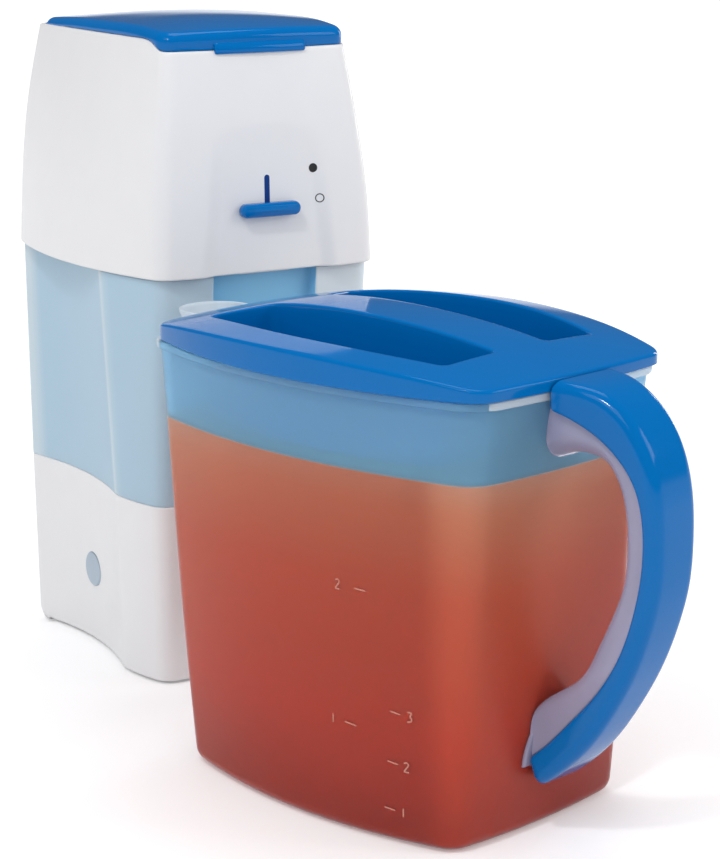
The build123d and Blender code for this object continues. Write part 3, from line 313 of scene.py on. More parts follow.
# the same SAN above the tea, where the frosting is dry: it looks milky blue
pitcherDry = mouldedFinish("dryPitcherSan", "#A9E2FF", "#A2DDFF", 0.33, blotch=40.0, grain=3.0, depth=0.004,
                           Transmission_Weight=0.72, IOR=1.22)
# the same SAN where the rim, the flange and the lip are thick: the frosting makes them nearly white, and this
# white, painted only at the two ends, is also a painted highlight along the flange
pitcherEdgeHighlight = mouldedFinish("frostedPitcherEdgeHighlight", "#E3EDF5", "#DCE8F2", 0.35, blotch=20.0, grain=1.0, depth=0.004,
                            Transmission_Weight=0.35, IOR=1.3)
# SAN handle core, frosted by a textured tool: grey lilac, cloudy
handleSan = mouldedFinish("frostedHandleSan", "#B9B6D2", "#ACA9C8", 0.36, grain=0.5, depth=0.03,
                          Transmission_Weight=0.35, IOR=1.5)
# frosted polypropylene basket: cloudy white
frostedBasket = mouldedFinish("frostedPolypropylene", "#DDE4EB", "#D2DBE4", 0.42, depth=0.02,
                              Transmission_Weight=0.35, IOR=1.49)
# silicone hose, extruded: milky and rubbery
milkySilicone = mouldedFinish("milkySilicone", "#DFE1E2", "#D5D8DA", 0.45, depth=0.01, Subsurface_Weight=0.15)
# steel, zinc plated, turned heads
zincSteel = metalFinish("zincSteel", "#B9BBBE", 0.32, line=0.4)
# steel strip, rolled and pressed: fine lines along the strip
pressedSteel = metalFinish("rolledSteelStrip", "#A6A8AC", 0.36, stretch=(1.0, 0.04, 1.0))
# stainless filter sheet, etched
etchedSteel = metalFinish("etchedStainless", "#BFC1C4", 0.38, line=0.25)
# aluminium alloy, die cast: light grey with a sandy skin
castAluminium = metalFinish("castAluminium", "#B4B6B8", 0.5, line=0.7, depth=0.06)

finishNodes = [
    (whiteAbs, "base_shell brew_housing housing_floor drip_chute"), (whiteDull, "base_plate"),
    (whiteWaxy, "riser_tube inlet_valve water_spout spray_head strength_gate gate_guide"),
    (blackRubber, "rubber_feet"), (paleRubber, "cord_gland reservoir_seals riser_grommet"),
    (silverAbs, "power_button"), (blackNylon, "power_switch thermostat"), (amberLens, "pilot_lamp"),
    (tankSan, "reservoir"), (pitcherSan, "pitcher_body"), (handleSan, "handle_core"),
    (blueAbs, "strength_knob tower_lid handle_grip pitcher_lid"), (frostedBasket, "steeping_basket"),
    (milkySilicone, "inlet_hose outlet_hose"), (zincSteel, "base_screws thermal_fuse hinge_pin"),
    (pressedSteel, "switch_bracket heater_bracket"), (etchedSteel, "filter_screen"),
    (castAluminium, "heater_casting heater_water_tube"),
]
for finish, names in finishNodes:
    for nodeName in names.split():
        for materialSlot in nodes[nodeName].material_slots:
            materialSlot.material = finish
print("finishes made")

# tower: base and tank
towerShape = {
    "heights": (1.5, 87.4, 195.6),
    "rear": (71.0, 70.6, 71.0), "rearHalf": (59.4, 61.0, 61.8), "waistHalf": (50.6, 53.4, 58.8),
    "creaseHalf": (57.4, 59.0, 64.6), "creaseY": (-27.0, -26.0, -26.0),
    "frontHalf": (50.0, 51.4, 54.0), "front": (-59.0, -60.6, -68.6),
    "waistY": 20.0, "creaseBow": 1.7, "recessHalf": 26.7, "recessDeep": 6.0,
    "rearCut": 3.0, "creaseCut": 2.2, "frontCut": 5.8, "recessCut": 1.0,
    "tankWall": 2.2, "tankFloor": 2.6, "tankInside": 3.0, "baseWall": 2.5, "deck": 3.0, "edge": 0.7,
    "heel": ((1.5, 62.0), (2.0, 64.2), (3.4, 66.6), (6.0, 69.0), (9.0, 70.6), (13.0, 71.2), (90.0, 75.0)),
}


def towerRing(z, inset):
    # Waisted outline with a docking recess in front. Every size runs straight from one level to the next.
    z, inset = np.asarray(z, float), np.asarray(inset, float)
    size = {key: np.interp(z, towerShape["heights"], towerShape[key]) for key in
            ("rear", "rearHalf", "waistHalf", "creaseHalf", "creaseY", "frontHalf", "front")}
    rear, rearHalf, waist = size["rear"] - inset, size["rearHalf"] - inset, size["waistHalf"] - inset
    crease, frontHalf, front = size["creaseHalf"] - inset, size["frontHalf"] - inset, size["front"] + inset
    notch, deep, none = towerShape["recessHalf"] + inset, front + towerShape["recessDeep"], 0 * z
    right = [(rearHalf, rear), (crease, size["creaseY"]), (frontHalf, front), (notch, front), (notch, deep)]
    between = [(waist, none + towerShape["waistY"]),
               ((crease + frontHalf) / 2 + towerShape["creaseBow"], (size["creaseY"] + front) / 2),
               ((frontHalf + notch) / 2, front), (notch, front + towerShape["recessDeep"] / 2), (none, deep)]
    corners = bothSides(right)
    through = between + [(-x, y) for x, y in between[-2::-1]] + [(none, rear)]
    cuts = [np.maximum(towerShape["rearCut"] - inset, 0.8), none + towerShape["creaseCut"],
            np.maximum(towerShape["frontCut"] - inset, 1.0), none + towerShape["recessCut"],
            none + towerShape["recessCut"]]
    return bowedRing(corners, through, cuts + cuts[::-1], (40, 14, 10, 4, 20, 4, 10, 14, 40, 30), 6)


def towerStack(rows, centre=(0.0, 8.0)):
    # rows of (height, inset, share): the outline at that height drawn in, then shrunk towards the middle
    z, inset, share = np.array(rows).T
    ring = towerRing(z, inset)
    flat = np.array(centre) + (ring - centre) * share[:, None, None]
    return flat, z


def whole(rows):
    return [(z, inset, 1.0) for z, inset in rows]


low, seam, tankTop = towerShape["heights"]
edge, baseWall, deckLow = towerShape["edge"], towerShape["baseWall"], seam - towerShape["deck"]
baseRows = ([(seam, 6.0, s) for s in capShares]
            + whole(arcRows(seam - edge, edge, edge, 90, 0, 5))
            + straightRows(0.0, seam - 2, 14, 22) + straightRows(0.0, 12, 2.6, 12)
            + whole(arcRows(low + edge, edge, edge, 0, -90, 5))
            + straightRows(baseWall, low, low + 1, 2) + straightRows(baseWall, 14, deckLow, 14)
            + [(deckLow, 6.0, s) for s in capShares[::-1]])
flat, z = towerStack(baseRows)
# the heel: the rear wall is rounded under, inner and outer alike
heel = np.interp(z, *np.array(towerShape["heel"]).T) - np.array(baseRows)[:, 1] * (np.array(baseRows)[:, 1] > 2)
flat[..., 1] = np.minimum(flat[..., 1], heel[:, None])
baseShell = buildPiece("baseShell", [(withHeight(flat, z), False, True)], towerSpot, 40)
dress(baseShell, whiteAbs, "base_unit", ("base_shell",))

wall, inside = towerShape["tankWall"], towerShape["tankInside"]
floorHeight = seam + towerShape["tankFloor"]
tankRows = ([(seam, 6.0, s) for s in capShares]
            + whole(arcRows(seam + edge, edge, edge, -90, 0, 5))
            + straightRows(0.0, seam + 2, tankTop - 2, 40)
            + whole(arcRows(tankTop - edge, edge, edge, 0, 90, 5)) + [(tankTop, wall - edge, 1.0)]
            + straightRows(wall, tankTop - 1, floorHeight + inside, 36)
            + whole([(floorHeight + inside - inside * math.sin(a), wall + inside - inside * math.cos(a))
                     for a in np.linspace(0.2, math.pi / 2, 6)])
            + [(floorHeight, 6.0, s) for s in capShares[::-1]])
flat, z = towerStack(tankRows)
tank = buildPiece("tank", [(withHeight(flat, z), False, True)], towerSpot, 40)
dress(tank, tankSan, "base_unit", ("reservoir",))
# the recess gets the deeper blue with its painted light
paintFaces(tank, tankDeepPaintedLight, lambda x, y, z: (abs(x - towerSpot["x"]) < 27) & (y < 95))
print("base and tank built")

# tower: brewing housing
housingShape = {
    "heights": (196.0, 228.0, 268.0, 306.0),
    # rear, half width at the rear and at the side, where the side is widest, half width in front, front corner
    # and front
    "sizes": ((72.2, 62.4, 67.6, -24.0, 55.6, -71.8, -75.6), (72.2, 60.8, 65.4, -22.0, 54.4, -70.6, -73.8),
              (72.0, 56.6, 58.0, -20.0, 50.6, -66.8, -69.4), (72.0, 48.4, 48.8, -18.0, 45.8, -61.4, -63.6)),
    "wall": 2.5, "seam": 196.0, "sideTop": 302.4, "frontTop": 297.2, "dip": (-60.0, -55.0, -54.0, -42.0),
    "rearCut": 3.5, "frontCut": 6.0, "edge": 0.9,
    "panelY": (-71.0, -69.9), "panelZ": (195.0, 262.0), "panelHalf": (27.0, 21.0), "panelSoft": 9.0,
    "notchHalf": 21.0, "notchLow": 296.6,
}


def housingRing(z, inset):
    # Bellied outline: rear, curved sides and bowed front. Its sizes follow a spline through four levels.
    sizes = splineThrough(housingShape["heights"], housingShape["sizes"], z)
    rear, rearHalf, sideHalf, sideY, frontHalf, front, panel = sizes.T
    right = [(rearHalf - inset, rear - inset), (frontHalf - inset, front + inset)]
    corners = bothSides(right)
    through = [(sideHalf - inset, sideY), (0 * z, panel + inset), (inset - sideHalf, sideY),
               (0 * z, rear - inset)]
    cuts = [housingShape[key] for key in ("rearCut", "frontCut", "frontCut", "rearCut")]
    return bowedRing(corners, through, cuts, (44, 84, 44, 60), 8)


def topEdge(y):
    # side view of the housing's top edge: level, then a Bezier dip to the lower front
    t = np.linspace(0, 1, 40)
    a, b, c, d = housingShape["dip"]
    dipY = (1 - t)**3 * a + 3 * (1 - t)**2 * t * b + 3 * (1 - t) * t * t * c + t**3 * d
    dipZ = housingShape["frontTop"] + (housingShape["sideTop"] - housingShape["frontTop"]) * easeStep(t)
    return np.interp(y, dipY, dipZ)


def sunkPanel(x, y, z):
    # the middle of the front sinks to a slanted plane, its sides easing in
    low, high = housingShape["panelZ"]
    plane = np.interp(z, (low, high), housingShape["panelY"])
    half = np.interp(z, (low, high), housingShape["panelHalf"])
    share = easeStep((half + housingShape["panelSoft"] - np.abs(x)) / housingShape["panelSoft"])
    depth = np.maximum(plane - y, 0) * (y < 0)
    return y + share * depth


tableLow, tableHigh, rimLevel = 195, 305, 300   # the outline is worked out once for every millimetre
tableZ = np.linspace(tableLow, tableHigh, tableHigh - tableLow + 1)
outerTable, innerTable = (housingRing(tableZ, inset + 0 * tableZ) for inset in (0.0, housingShape["wall"]))
columns = np.arange(outerTable.shape[1])[None, :]
rimX, rimY = outerTable[rimLevel - tableLow].T
rim = topEdge(rimY)
rim = np.where((rimY > 60) & (np.abs(rimX) < housingShape["notchHalf"]), housingShape["notchLow"], rim)
r, w = housingShape["edge"], housingShape["wall"]
# each row: share of the height, offset in height, share of the wall's thickness
housingRows = ([(0.0, r + dz, inset / w) for dz, inset in arcRows(0, r, r, -90, 0, 6)]
               + [(s, 0.0, 0.0) for s in np.linspace(0.02, 0.98, 70)]
               + [(1.0, dz - r, inset / w) for dz, inset in arcRows(0, r, r, 0, 90, 6)]
               + [(1.0, dz - r, inset / w) for dz, inset in arcRows(0, w - r, -r, -90, -180, 6)]
               + [(s, 0.0, 1.0) for s in np.linspace(0.98, 0.02, 30)]
               + [(0.0, r, 1.0), (0.0, 0.3 * r, 1 - 0.3 * r / w)])
share, lift, depth = (np.array(housingRows)[:, k, None] for k in range(3))
z = housingShape["seam"] + share * (rim[None, :] - housingShape["seam"]) + lift
k = np.clip((z - tableLow).astype(int), 0, len(tableZ) - 2)
f = (z - tableLow - k)[..., None]
outer = outerTable[k, columns] * (1 - f) + outerTable[k + 1, columns] * f
inner = innerTable[k, columns] * (1 - f) + innerTable[k + 1, columns] * f
behindPanel = sunkPanel(inner[..., 0], outer[..., 1], z) + w - 0.2
inner[..., 1] = np.where(outer[..., 1] < -60, np.maximum(inner[..., 1], behindPanel), inner[..., 1])
outer[..., 1] = sunkPanel(outer[..., 0], outer[..., 1], z)
flat = outer + depth[..., None] * (inner - outer)
housing = buildPiece("brewHousing", [(withHeight(flat, z), True, True)], towerSpot, 40)
dress(housing, whiteAbs, "brew_unit", ("brew_housing",))
print("brewing housing built")


def profileAlong(profile, stations, roundOff=0.6, shift=None):
    # a closed profile in (depth, height) carried along x, with its ends shrunk a little and closed
    profile = np.asarray(profile, float)
    middle = profile.mean(0)
    start, stop = stations[0], stations[-1]
    step = roundOff * np.sign(stop - start)
    xs = np.array([start, start, start + step, *stations[1:-1], stop - step, stop, stop])
    endShare = 1 - roundOff / np.abs(profile - middle).max()
    shares = np.array([0.0, endShare] + [1.0] * (len(xs) - 4) + [endShare, 0.0])
    ring = middle + (profile[None] - middle) * shares[:, None, None]
    if shift:
        ring = ring + shift(xs)[:, None, :]
    return np.concatenate([np.broadcast_to(xs[:, None, None], ring.shape[:2] + (1,)), ring], -1)


# tower lid
lidShape = {
    # depth, shoulder height, ridge height, half width
    "stations": ((-65.0, 304.6, 305.8, 46.8), (-40.0, 307.0, 309.0, 48.0), (0.0, 307.4, 310.1, 48.6),
                 (35.0, 307.0, 309.0, 48.2), (65.0, 305.4, 306.4, 47.4)),
    "rearHalf": 48.8, "rear": 65.0, "frontHalf": 47.3, "frontCorner": -60.8, "front": -64.8,
    "sideHalf": 49.4, "sideY": -14.0, "rearCut": 2.5, "frontCut": 6.0, "round": 4.0, "gap": 0.15,
    "under": 2.4, "tabHalf": 23.0, "hinge": (68.6, 300.2), "knuckle": 3.2, "knuckleHalf": 14.0,
    # the front tab's section, in depth and height
    "tab": ((-60.5, 298.4), (-60.5, 300.6), (-64.6, 300.9), (-65.9, 299.9), (-66.7, 298.2), (-66.9, 296.4),
            (-66.6, 295.8), (-66.1, 295.6), (-65.7, 295.9), (-65.4, 297.6), (-64.0, 298.2)),
    # the white lugs beside the knuckle: from where to where, and the section of the post below each
    "lugs": (14.5, 20.9), "lugPost": ((66.6, 292.0), (71.2, 292.0), (71.2, 300.0), (66.6, 300.0)),
}


def lidCrown(x, y):
    # height of the lid's crown: a parabola across, from the shoulders to the ridge
    stations = np.array(lidShape["stations"])
    shoulder, ridge, half = splineThrough(stations[:, 0], stations[:, 1:], y.ravel()).T.reshape((3,) + y.shape)
    return shoulder + (ridge - shoulder) * (1 - (x / half) ** 2)


def lidPlanRing(inset):
    # the lid's plan: straight rear, bowed sides and front, rounded corners
    inset = np.asarray(inset, float)
    none = 0 * inset
    s = lidShape
    right = [(s["rearHalf"] - inset, s["rear"] - inset), (s["frontHalf"] - inset, s["frontCorner"] + inset)]
    corners = bothSides(right)
    through = [(s["sideHalf"] - inset, none + s["sideY"]), (none, s["front"] + inset),
               (inset - s["sideHalf"], none + s["sideY"]), (none, s["rear"] - inset)]
    cuts = [np.maximum(s[key] - inset * 0.6, 0.6) for key in ("rearCut", "frontCut", "frontCut", "rearCut")]
    return bowedRing(corners, through, cuts, (60, 40, 60, 40), 8)


a = np.radians(np.linspace(0, 90, 9))
r = lidShape["round"]
# each row: what its height starts from, how far above that, inset, share
lidRows = ([("under", 0.0, 5.2, s) for s in (0.0, 0.25, 0.5, 0.75, 1.0)] + [("under", 0.0, 4.6, 1.0)]
           + [("foot", *row, 1.0) for row in ((0.0, 4.5), (0.0, 0.5), (0.15, 0.15), (0.5, 0.0))]
           + [("side", -r * (1 - math.sin(t)), r * (1 - math.cos(t)), 1.0) for t in a]
           + [("side", 0.0, r, s) for s in (0.97, 0.92, 0.84, 0.72, 0.58, 0.44, 0.3, 0.15, 0.0)])
kind = np.array([row[0] for row in lidRows])[:, None]
lift, inset, share = np.array([row[1:] for row in lidRows]).T
ring = lidPlanRing(inset)
flat = np.array((0.0, 2.0)) + (ring - (0.0, 2.0)) * share[:, None, None]
crown = lidCrown(flat[..., 0], flat[..., 1])
foot = topEdge(flat[..., 1]) + lidShape["gap"]
z = np.where(kind == "under", crown - lidShape["under"],
             np.where(kind == "foot", foot + lift[:, None], crown + lift[:, None]))


def frontBow(x):
    # how far the lid's bowed front falls back at x, as a shift in depth alone
    back = (x / lidShape["frontHalf"]) ** 2 * (lidShape["frontCorner"] - lidShape["front"])
    return np.stack([back, 0 * x], -1)


def hingeArc(start, stop, steps):
    # points of the knuckle's round, seen from the side
    a = np.radians(np.linspace(start, stop, steps))
    return np.array(lidShape["hinge"]) + lidShape["knuckle"] * np.stack([np.cos(a), np.sin(a)], -1)


tab = profileAlong(lidShape["tab"], np.linspace(-lidShape["tabHalf"], lidShape["tabHalf"], 24), shift=frontBow)
knuckleShape = np.concatenate([[(63.8, 304.2)], hingeArc(80, -170, 22), [(63.8, 302.4)]])
knuckle = profileAlong(knuckleShape, np.linspace(-lidShape["knuckleHalf"], lidShape["knuckleHalf"], 3))
towerLid = buildPiece("towerLid", [(withHeight(flat, z), False, True), (tab, False, True), (knuckle, False, True)],
                      towerSpot, 38)
dress(towerLid, blueAbs, "tower_lid_group", ("tower_lid",))
lugs = [profileAlong(section, side * np.array(lidShape["lugs"]), roundOff)
        for section, roundOff in ((hingeArc(0, 345, 24), 0.4), (lidShape["lugPost"], 0.3)) for side in (-1, 1)]
hingeLugs = buildPiece("hingeLugs", [(lug, False, True) for lug in lugs], towerSpot, 38)
dress(hingeLugs, whiteAbs, "brew_unit")
print("tower lid built")

# pitcher body and tea
pitcherShape = {
    "heights": (0.0, 75.0, 151.0, 185.0),
    # spout end, handle end, corner, swell of the long sides
    "sizes": ((77.6, 76.8, 50.2, 12.4), (86.4, 82.0, 50.6, 12.8), (93.0, 86.2, 51.0, 13.6),
              (94.2, 89.6, 52.6, 16.6)),
    "endSwell": 3.5, "cornerCut": 8.0, "cornerSteps": 9, "wall": 2.4, "floor": 3.2, "floorRound": 4.1,
    "bottomRound": 6.5, "flangeLow": 181.4, "flangeOut": 1.6, "lipRoot": -99.2,
    "teaTop": 151.0, "teaInset": 0.9, "teaLow": 1.2,
    # the spout's nose: height, middle, radius
    "spout": ((112.0, -84.0, 6.0), (150.0, -95.5, 12.0), (188.0, -113.6, 17.5)), "spoutSteps": 64,
}


def pitcherRing(z, inset, noseInset=None):
    # Four bowed sides with rounded corners. At the spout end, the middle columns leave the wall where the
    # spout's round nose comes out of it: a straight side, then a quarter circle to the tip.
    z, inset = np.broadcast_arrays(np.asarray(z, float), np.asarray(inset, float))
    noseInset = inset if noseInset is None else noseInset
    s = pitcherShape
    spoutEnd, handleEnd, corner, swell = splineThrough(s["heights"], s["sizes"], z).T
    spoutEnd, handleEnd, corner, none = spoutEnd - inset, handleEnd - inset, corner - inset, 0 * z
    corners = [(handleEnd, corner), (-spoutEnd, corner), (-spoutEnd, -corner), (handleEnd, -corner)]
    through = [(none, corner + swell), (-spoutEnd - s["endSwell"], none), (none, -corner - swell),
               (handleEnd + s["endSwell"], none)]
    steps = (72, s["spoutSteps"], 72, 32)
    ring = bowedRing(corners, through, [np.maximum(s["cornerCut"] - inset, 1.0)] * 4, steps, s["cornerSteps"])
    first = 2 * s["cornerSteps"] + steps[0] - 1
    spoutColumns = slice(first, first + s["spoutSteps"] - 1)
    part = np.linspace(1, -1, s["spoutSteps"] + 1)[None, 1:-1]
    part, way = np.abs(part), np.sign(part)
    nose = splineThrough([row[0] for row in s["spout"]], [row[1:] for row in s["spout"]], z)
    middle, radius = nose[:, :1], nose[:, 1:] - noseInset[:, None]
    wallX = lambda y: -(spoutEnd[:, None] + s["endSwell"] * (1 - (y / corner[:, None]) ** 2))
    flatWall = wallX(0 * middle)
    lean = np.arcsin(np.clip((middle - flatWall) / radius, 0, 1))
    lean = np.where(z[:, None] < s["spout"][0][0], math.pi / 2, lean)
    mouthY = radius * np.cos(lean)
    startY = np.abs(ring[:, first - 1, 1])[:, None]
    wallY = mouthY + (startY - mouthY) * np.clip((part - 0.5) / 0.5, 0, 1)
    run = np.maximum(wallX(mouthY) - middle, 0) * (lean == 0)
    turn = radius * (math.pi / 2 - lean)
    q = np.clip(1 - part / 0.5, 0, 1) * (run + turn)
    angle = lean + np.clip(q - run, 0, None) / np.maximum(radius, 0.1)
    noseX = np.where(q < run, wallX(mouthY) - q, middle - radius * np.sin(angle))
    noseX = np.minimum(noseX, wallX(mouthY))
    noseY = np.where(q < run, radius, radius * np.cos(angle))
    ring[:, spoutColumns, 0] = np.where(part >= 0.5, wallX(wallY), noseX)
    ring[:, spoutColumns, 1] = way * np.where(part >= 0.5, wallY, noseY)
    return ring, spoutColumns


s = pitcherShape
b, w = s["bottomRound"], s["wall"]
# each row: height, inset of the wall, inset of the nose, share towards the middle, share of the lip's rise
insideRound = s["floorRound"]
bodyRows = ([(0.0, b, b, f, 0.0) for f in capShares]
            + [(b + dz, i, i, 1.0, 0.0) for dz, i in arcRows(0, b, b, -80, 0, 8)]
            + [(z, 0.0, 0.0, 1.0, 0.0) for z in (*np.linspace(9, 112, 34), *np.linspace(114, 180.6, 40))]
            + [(s["flangeLow"], 0.0, 0.0, 1.0, 0.0), (s["flangeLow"] + 0.1, -1.2, 0.0, 1.0, 0.0)]
            + [(s["flangeLow"] + 0.5, -s["flangeOut"], 0.0, 1.0, 0.0), (184.4, -s["flangeOut"], 0.0, 1.0, 0.85)]
            + [(184.85, -1.3, 0.2, 1.0, 0.97), (185.0, -0.9, 0.7, 1.0, 1.0), (185.0, 1.6, 1.6, 1.0, 1.0)]
            + [(184.8, 2.2, 2.2, 1.0, 0.98), (184.2, w, w, 1.0, 0.9)]
            + [(z, w, w, 1.0, 0.0) for z in (*np.linspace(180, 114, 36), *np.linspace(112, 9, 30))]
            + [(s["floor"] + insideRound + dz, i, i, 1.0, 0.0)
               for dz, i in arcRows(0, w + insideRound, insideRound, 0, -90, 7)]
            + [(s["floor"], b, b, f, 0.0) for f in capShares[::-1]])
z, inset, noseInset, share, rise = np.array(bodyRows).T
ring, spoutColumns = pitcherRing(z, inset, noseInset)
lift = np.zeros(ring.shape[:2])
reach = s["lipRoot"] - ring[:, spoutColumns, 0]
lift[:, spoutColumns] = 3.0 * easeStep(reach / 3) * rise[:, None]
ring[..., 0] -= 0.47 * lift
ring = ring * share[:, None, None]
body = buildPiece("pitcherBody", [(withHeight(ring, z[:, None] + lift), False, True)], pitcherSpot, 42)
dress(body, pitcherSan, "pitcher", ("pitcher_body",))
paintFaces(body, pitcherDry, lambda x, y, z: z > s["teaTop"])


def thickEdgeAndHighlight(x, y, z):
    # the flange and the lip at both ends of the pitcher, measured along its length, where the painted highlight
    # lies
    turn = math.radians(pitcherSpot["turn"])
    along = (x - pitcherSpot["x"]) * math.cos(turn) + (y - pitcherSpot["y"]) * math.sin(turn)
    return (z > pitcherShape["flangeLow"] - 0.2) & (np.abs(along - 2) > 89)


paintFaces(body, pitcherEdgeHighlight, thickEdgeAndHighlight)

# brewed tea, still and opaque amber brown, with painted light and shade: lighter towards its surface and at both
# ends, darker low down and along the middle
tea = mouldedFinish("brewedTea", "#FCFCFC", "#F9F9F9", 0.3, blotch=45.0, grain=3.0, depth=0.0, spread=0.0,
                    Specular_IOR_Level=0.1)
# painted light: darker low down, lighter towards the surface where the light comes in
paintedLightBands(tea, "Z", [(0, "#CC3E24"), (45.3, "#EE4E2A"), (105.7, "#F06A42"), (140.4, "#F2946A"),
                     (151, "#F4AC8A")])
# painted light and shade along the pitcher: lighter at the handle end and the spout end, darker between them
paintedLightBands(tea, "Y", [(-172, "#FFFFFF"), (-156, "#FFF6F2"), (-146, "#E6C2B6"), (-60, "#F4D8D0"),
                     (-14, "#FCF4F0"), (12, "#FFFFFF")])
g, low, r = s["teaInset"], s["teaLow"], s["bottomRound"] - s["teaInset"]
teaRows = ([(low, b, f) for f in capShares]
           + [(low + r + dz, i, 1.0) for dz, i in arcRows(0, g + r, r, -80, 0, 7)]
           + straightRows(g, 10, 112, 30) + straightRows(g, 114, s["teaTop"] + 0.7, 22)
           + [(s["teaTop"] + 0.2, g + 0.7, 1.0), (s["teaTop"], g + 1.8, 1.0)]
           + [(s["teaTop"], g + 1.8, f) for f in (0.9, 0.7, 0.4, 0.0)])
z, inset, share = np.array(teaRows).T
ring, spoutColumns = pitcherRing(z, inset)
teaPiece = buildPiece("brewedTea", [(withHeight(ring * share[:, None, None], z), False, True)], pitcherSpot, 42)
dress(teaPiece, tea, "pitcher")
print("pitcher and tea built")

# handle
handleShape = {
    # outer line x, z, seam x, z, inner line x, z, half width
    "stations": (
        (97.0, 189.4, 92.6, 178.4, 88.0, 157.0, 19.0), (106.0, 188.8, 100.8, 176.2, 98.5, 160.6, 17.4),
        (116.6, 186.2, 109.6, 172.2, 108.0, 161.0, 15.0), (125.2, 181.2, 116.6, 168.2, 115.0, 159.4, 13.9),
        (132.8, 173.2, 123.8, 162.8, 120.8, 154.8, 13.5), (138.4, 163.0, 129.8, 156.2, 124.2, 148.0, 13.3),
        (142.2, 149.4, 134.4, 146.0, 126.3, 139.0, 13.1), (143.5, 132.0, 136.3, 131.0, 126.7, 129.0, 13.0),
        (142.7, 115.0, 135.2, 116.0, 126.0, 116.4, 12.9), (139.0, 98.6, 131.4, 99.6, 120.9, 101.0, 12.8),
        (132.0, 79.5, 124.4, 82.0, 112.8, 84.0, 12.6), (122.0, 60.6, 113.4, 65.2, 104.6, 70.6, 12.4),
        (109.4, 42.4, 101.2, 51.2, 93.4, 62.0, 12.8), (96.2, 29.0, 90.0, 39.0, 85.0, 55.0, 13.8),
        (84.6, 19.4, 81.0, 31.0, 80.0, 48.0, 15.4)),
    "gap": 0.15, "lidReach": 96.3,
    # corner rounding of the grip (outer side, seam side) and of the core (seam side, inner side), and the
    # outer face's crown
    "gripRound": (4.9, 1.3), "gripCrown": 0.15, "coreCrown": 0.3,
    # share of the way, how much narrower the core is than the grip, rounding of its inner corners
    "core": ((0.0, 4.0, 10.0), (0.1, 3.0, 7.0), (0.2, 2.2, 3.6), (0.3, 2.0, 3.2), (1.0, 2.0, 3.2)),
    # arch plate where the core meets the wall: lowest height, half width, rise and middle, then rows of (share
    # of the arch, how far out)
    "foot": (30.0, 16.6, 26.8, 38.0),
    "footRows": ((1.0, 0.05), (1.0, 0.7), (0.99, 1.1), (0.96, 1.4), (0.92, 1.5), (0.7, 1.5), (0.4, 1.5),
                 (0.0, 1.5)),
}


def endWall(y, z):
    # how far the pitcher's end wall reaches at the handle
    sizes = splineThrough(pitcherShape["heights"], pitcherShape["sizes"], z.ravel()).T
    handleEnd, corner = sizes[1].reshape(z.shape), sizes[2].reshape(z.shape)
    return handleEnd + pitcherShape["endSwell"] * (1 - (y / corner) ** 2)


def clearOfWall(tube, gap, near, reach):
    # pushes a tube's points out of the end wall, and above the height near out to the given reach
    x, y, z = np.moveaxis(tube, -1, 0)
    wall = endWall(y, np.clip(z, 0, 185)) + gap(z)
    tube[..., 0] = np.maximum(x, np.where(z > near, reach(wall, y), wall))


def capped(tube):
    # closes a tube with the middle points of its first and last rows
    ends = [tube[[row]].mean(1, keepdims=True) + 0 * tube[[row]] for row in (0, -1)]
    return np.concatenate([ends[0], tube, ends[1]])


def handleTube(nearKeys, farKeys, narrower, gap, rounding, crown, steps, tip):
    # A rectangle with rounded corners and two crowned faces, carried along the handle. Its long way is the
    # pitcher's width, its short way runs from one of the handle's lines to the next, and its last rows shrink
    # on a quarter circle to a round tip.
    stations = np.array(handleShape["stations"])
    middle = (stations[:, nearKeys] + stations[:, farKeys]) / 2
    along = np.concatenate([[0], np.cumsum(np.linalg.norm(np.diff(middle, axis=0), axis=1))])
    at = np.linspace(0, along[-1], steps)
    values = splineThrough(along, stations, at)
    near, far, half = values[:, nearKeys], values[:, farKeys], values[:, 6] - narrower(at / along[-1])
    across = far - near
    thick = np.linalg.norm(across, axis=1) - gap
    across /= np.linalg.norm(across, axis=1)[:, None]
    centre = near + across * (gap + thick / 2)[:, None]
    nearRound, farRound = rounding(at / along[-1])
    fit = np.minimum(1, thick / (nearRound + farRound + 0.3))
    nearRound, farRound = nearRound * fit, farRound * fit
    side = thick / 2
    none = 0 * half
    box = bowedRing([(half, side), (-half, side), (-half, -side), (half, -side)],
                    [(none, side + 0.3), (-half - crown, none), (none, -side - crown), (half + crown, none)],
                    [farRound, farRound, nearRound, nearRound], (14, 6, 16, 6), 9)
    shrink = np.sqrt(np.clip(1 - np.clip((at - (along[-1] - tip)) / tip, 0, 1) ** 2, 0, 1))
    box = box * shrink[:, None, None]
    x = centre[:, 0, None] + across[:, 0, None] * box[..., 1]
    zz = centre[:, 1, None] + across[:, 1, None] * box[..., 1]
    return np.stack([x, box[..., 0], zz], -1)


grip = handleTube([0, 1], [2, 3], lambda t: 0 * t, 0.0, lambda t: [r + 0 * t for r in handleShape["gripRound"]],
                  handleShape["gripCrown"], 130, 7.0)
clearOfWall(grip, lambda z: np.interp(z, (60, 150), (0.5, 2.2)), 170,
            lambda wall, y: np.maximum(wall, handleShape["lidReach"] - 0.0006 * y ** 2))
gripPiece = buildPiece("handleGrip", [(capped(grip), False, True)], pitcherSpot, 50)
dress(gripPiece, blueAbs, "pitcher", ("handle_grip",))
coreShares, coreNarrower, coreRound = np.array(handleShape["core"]).T
core = handleTube([2, 3], [4, 5], lambda t: np.interp(t, coreShares, coreNarrower), handleShape["gap"],
                  lambda t: [0.8 + 0 * t, np.interp(t, coreShares, coreRound)], handleShape["coreCrown"], 130, 4.0)
clearOfWall(core, lambda z: 0.05, 181.0, lambda wall, y: wall + 1.8)
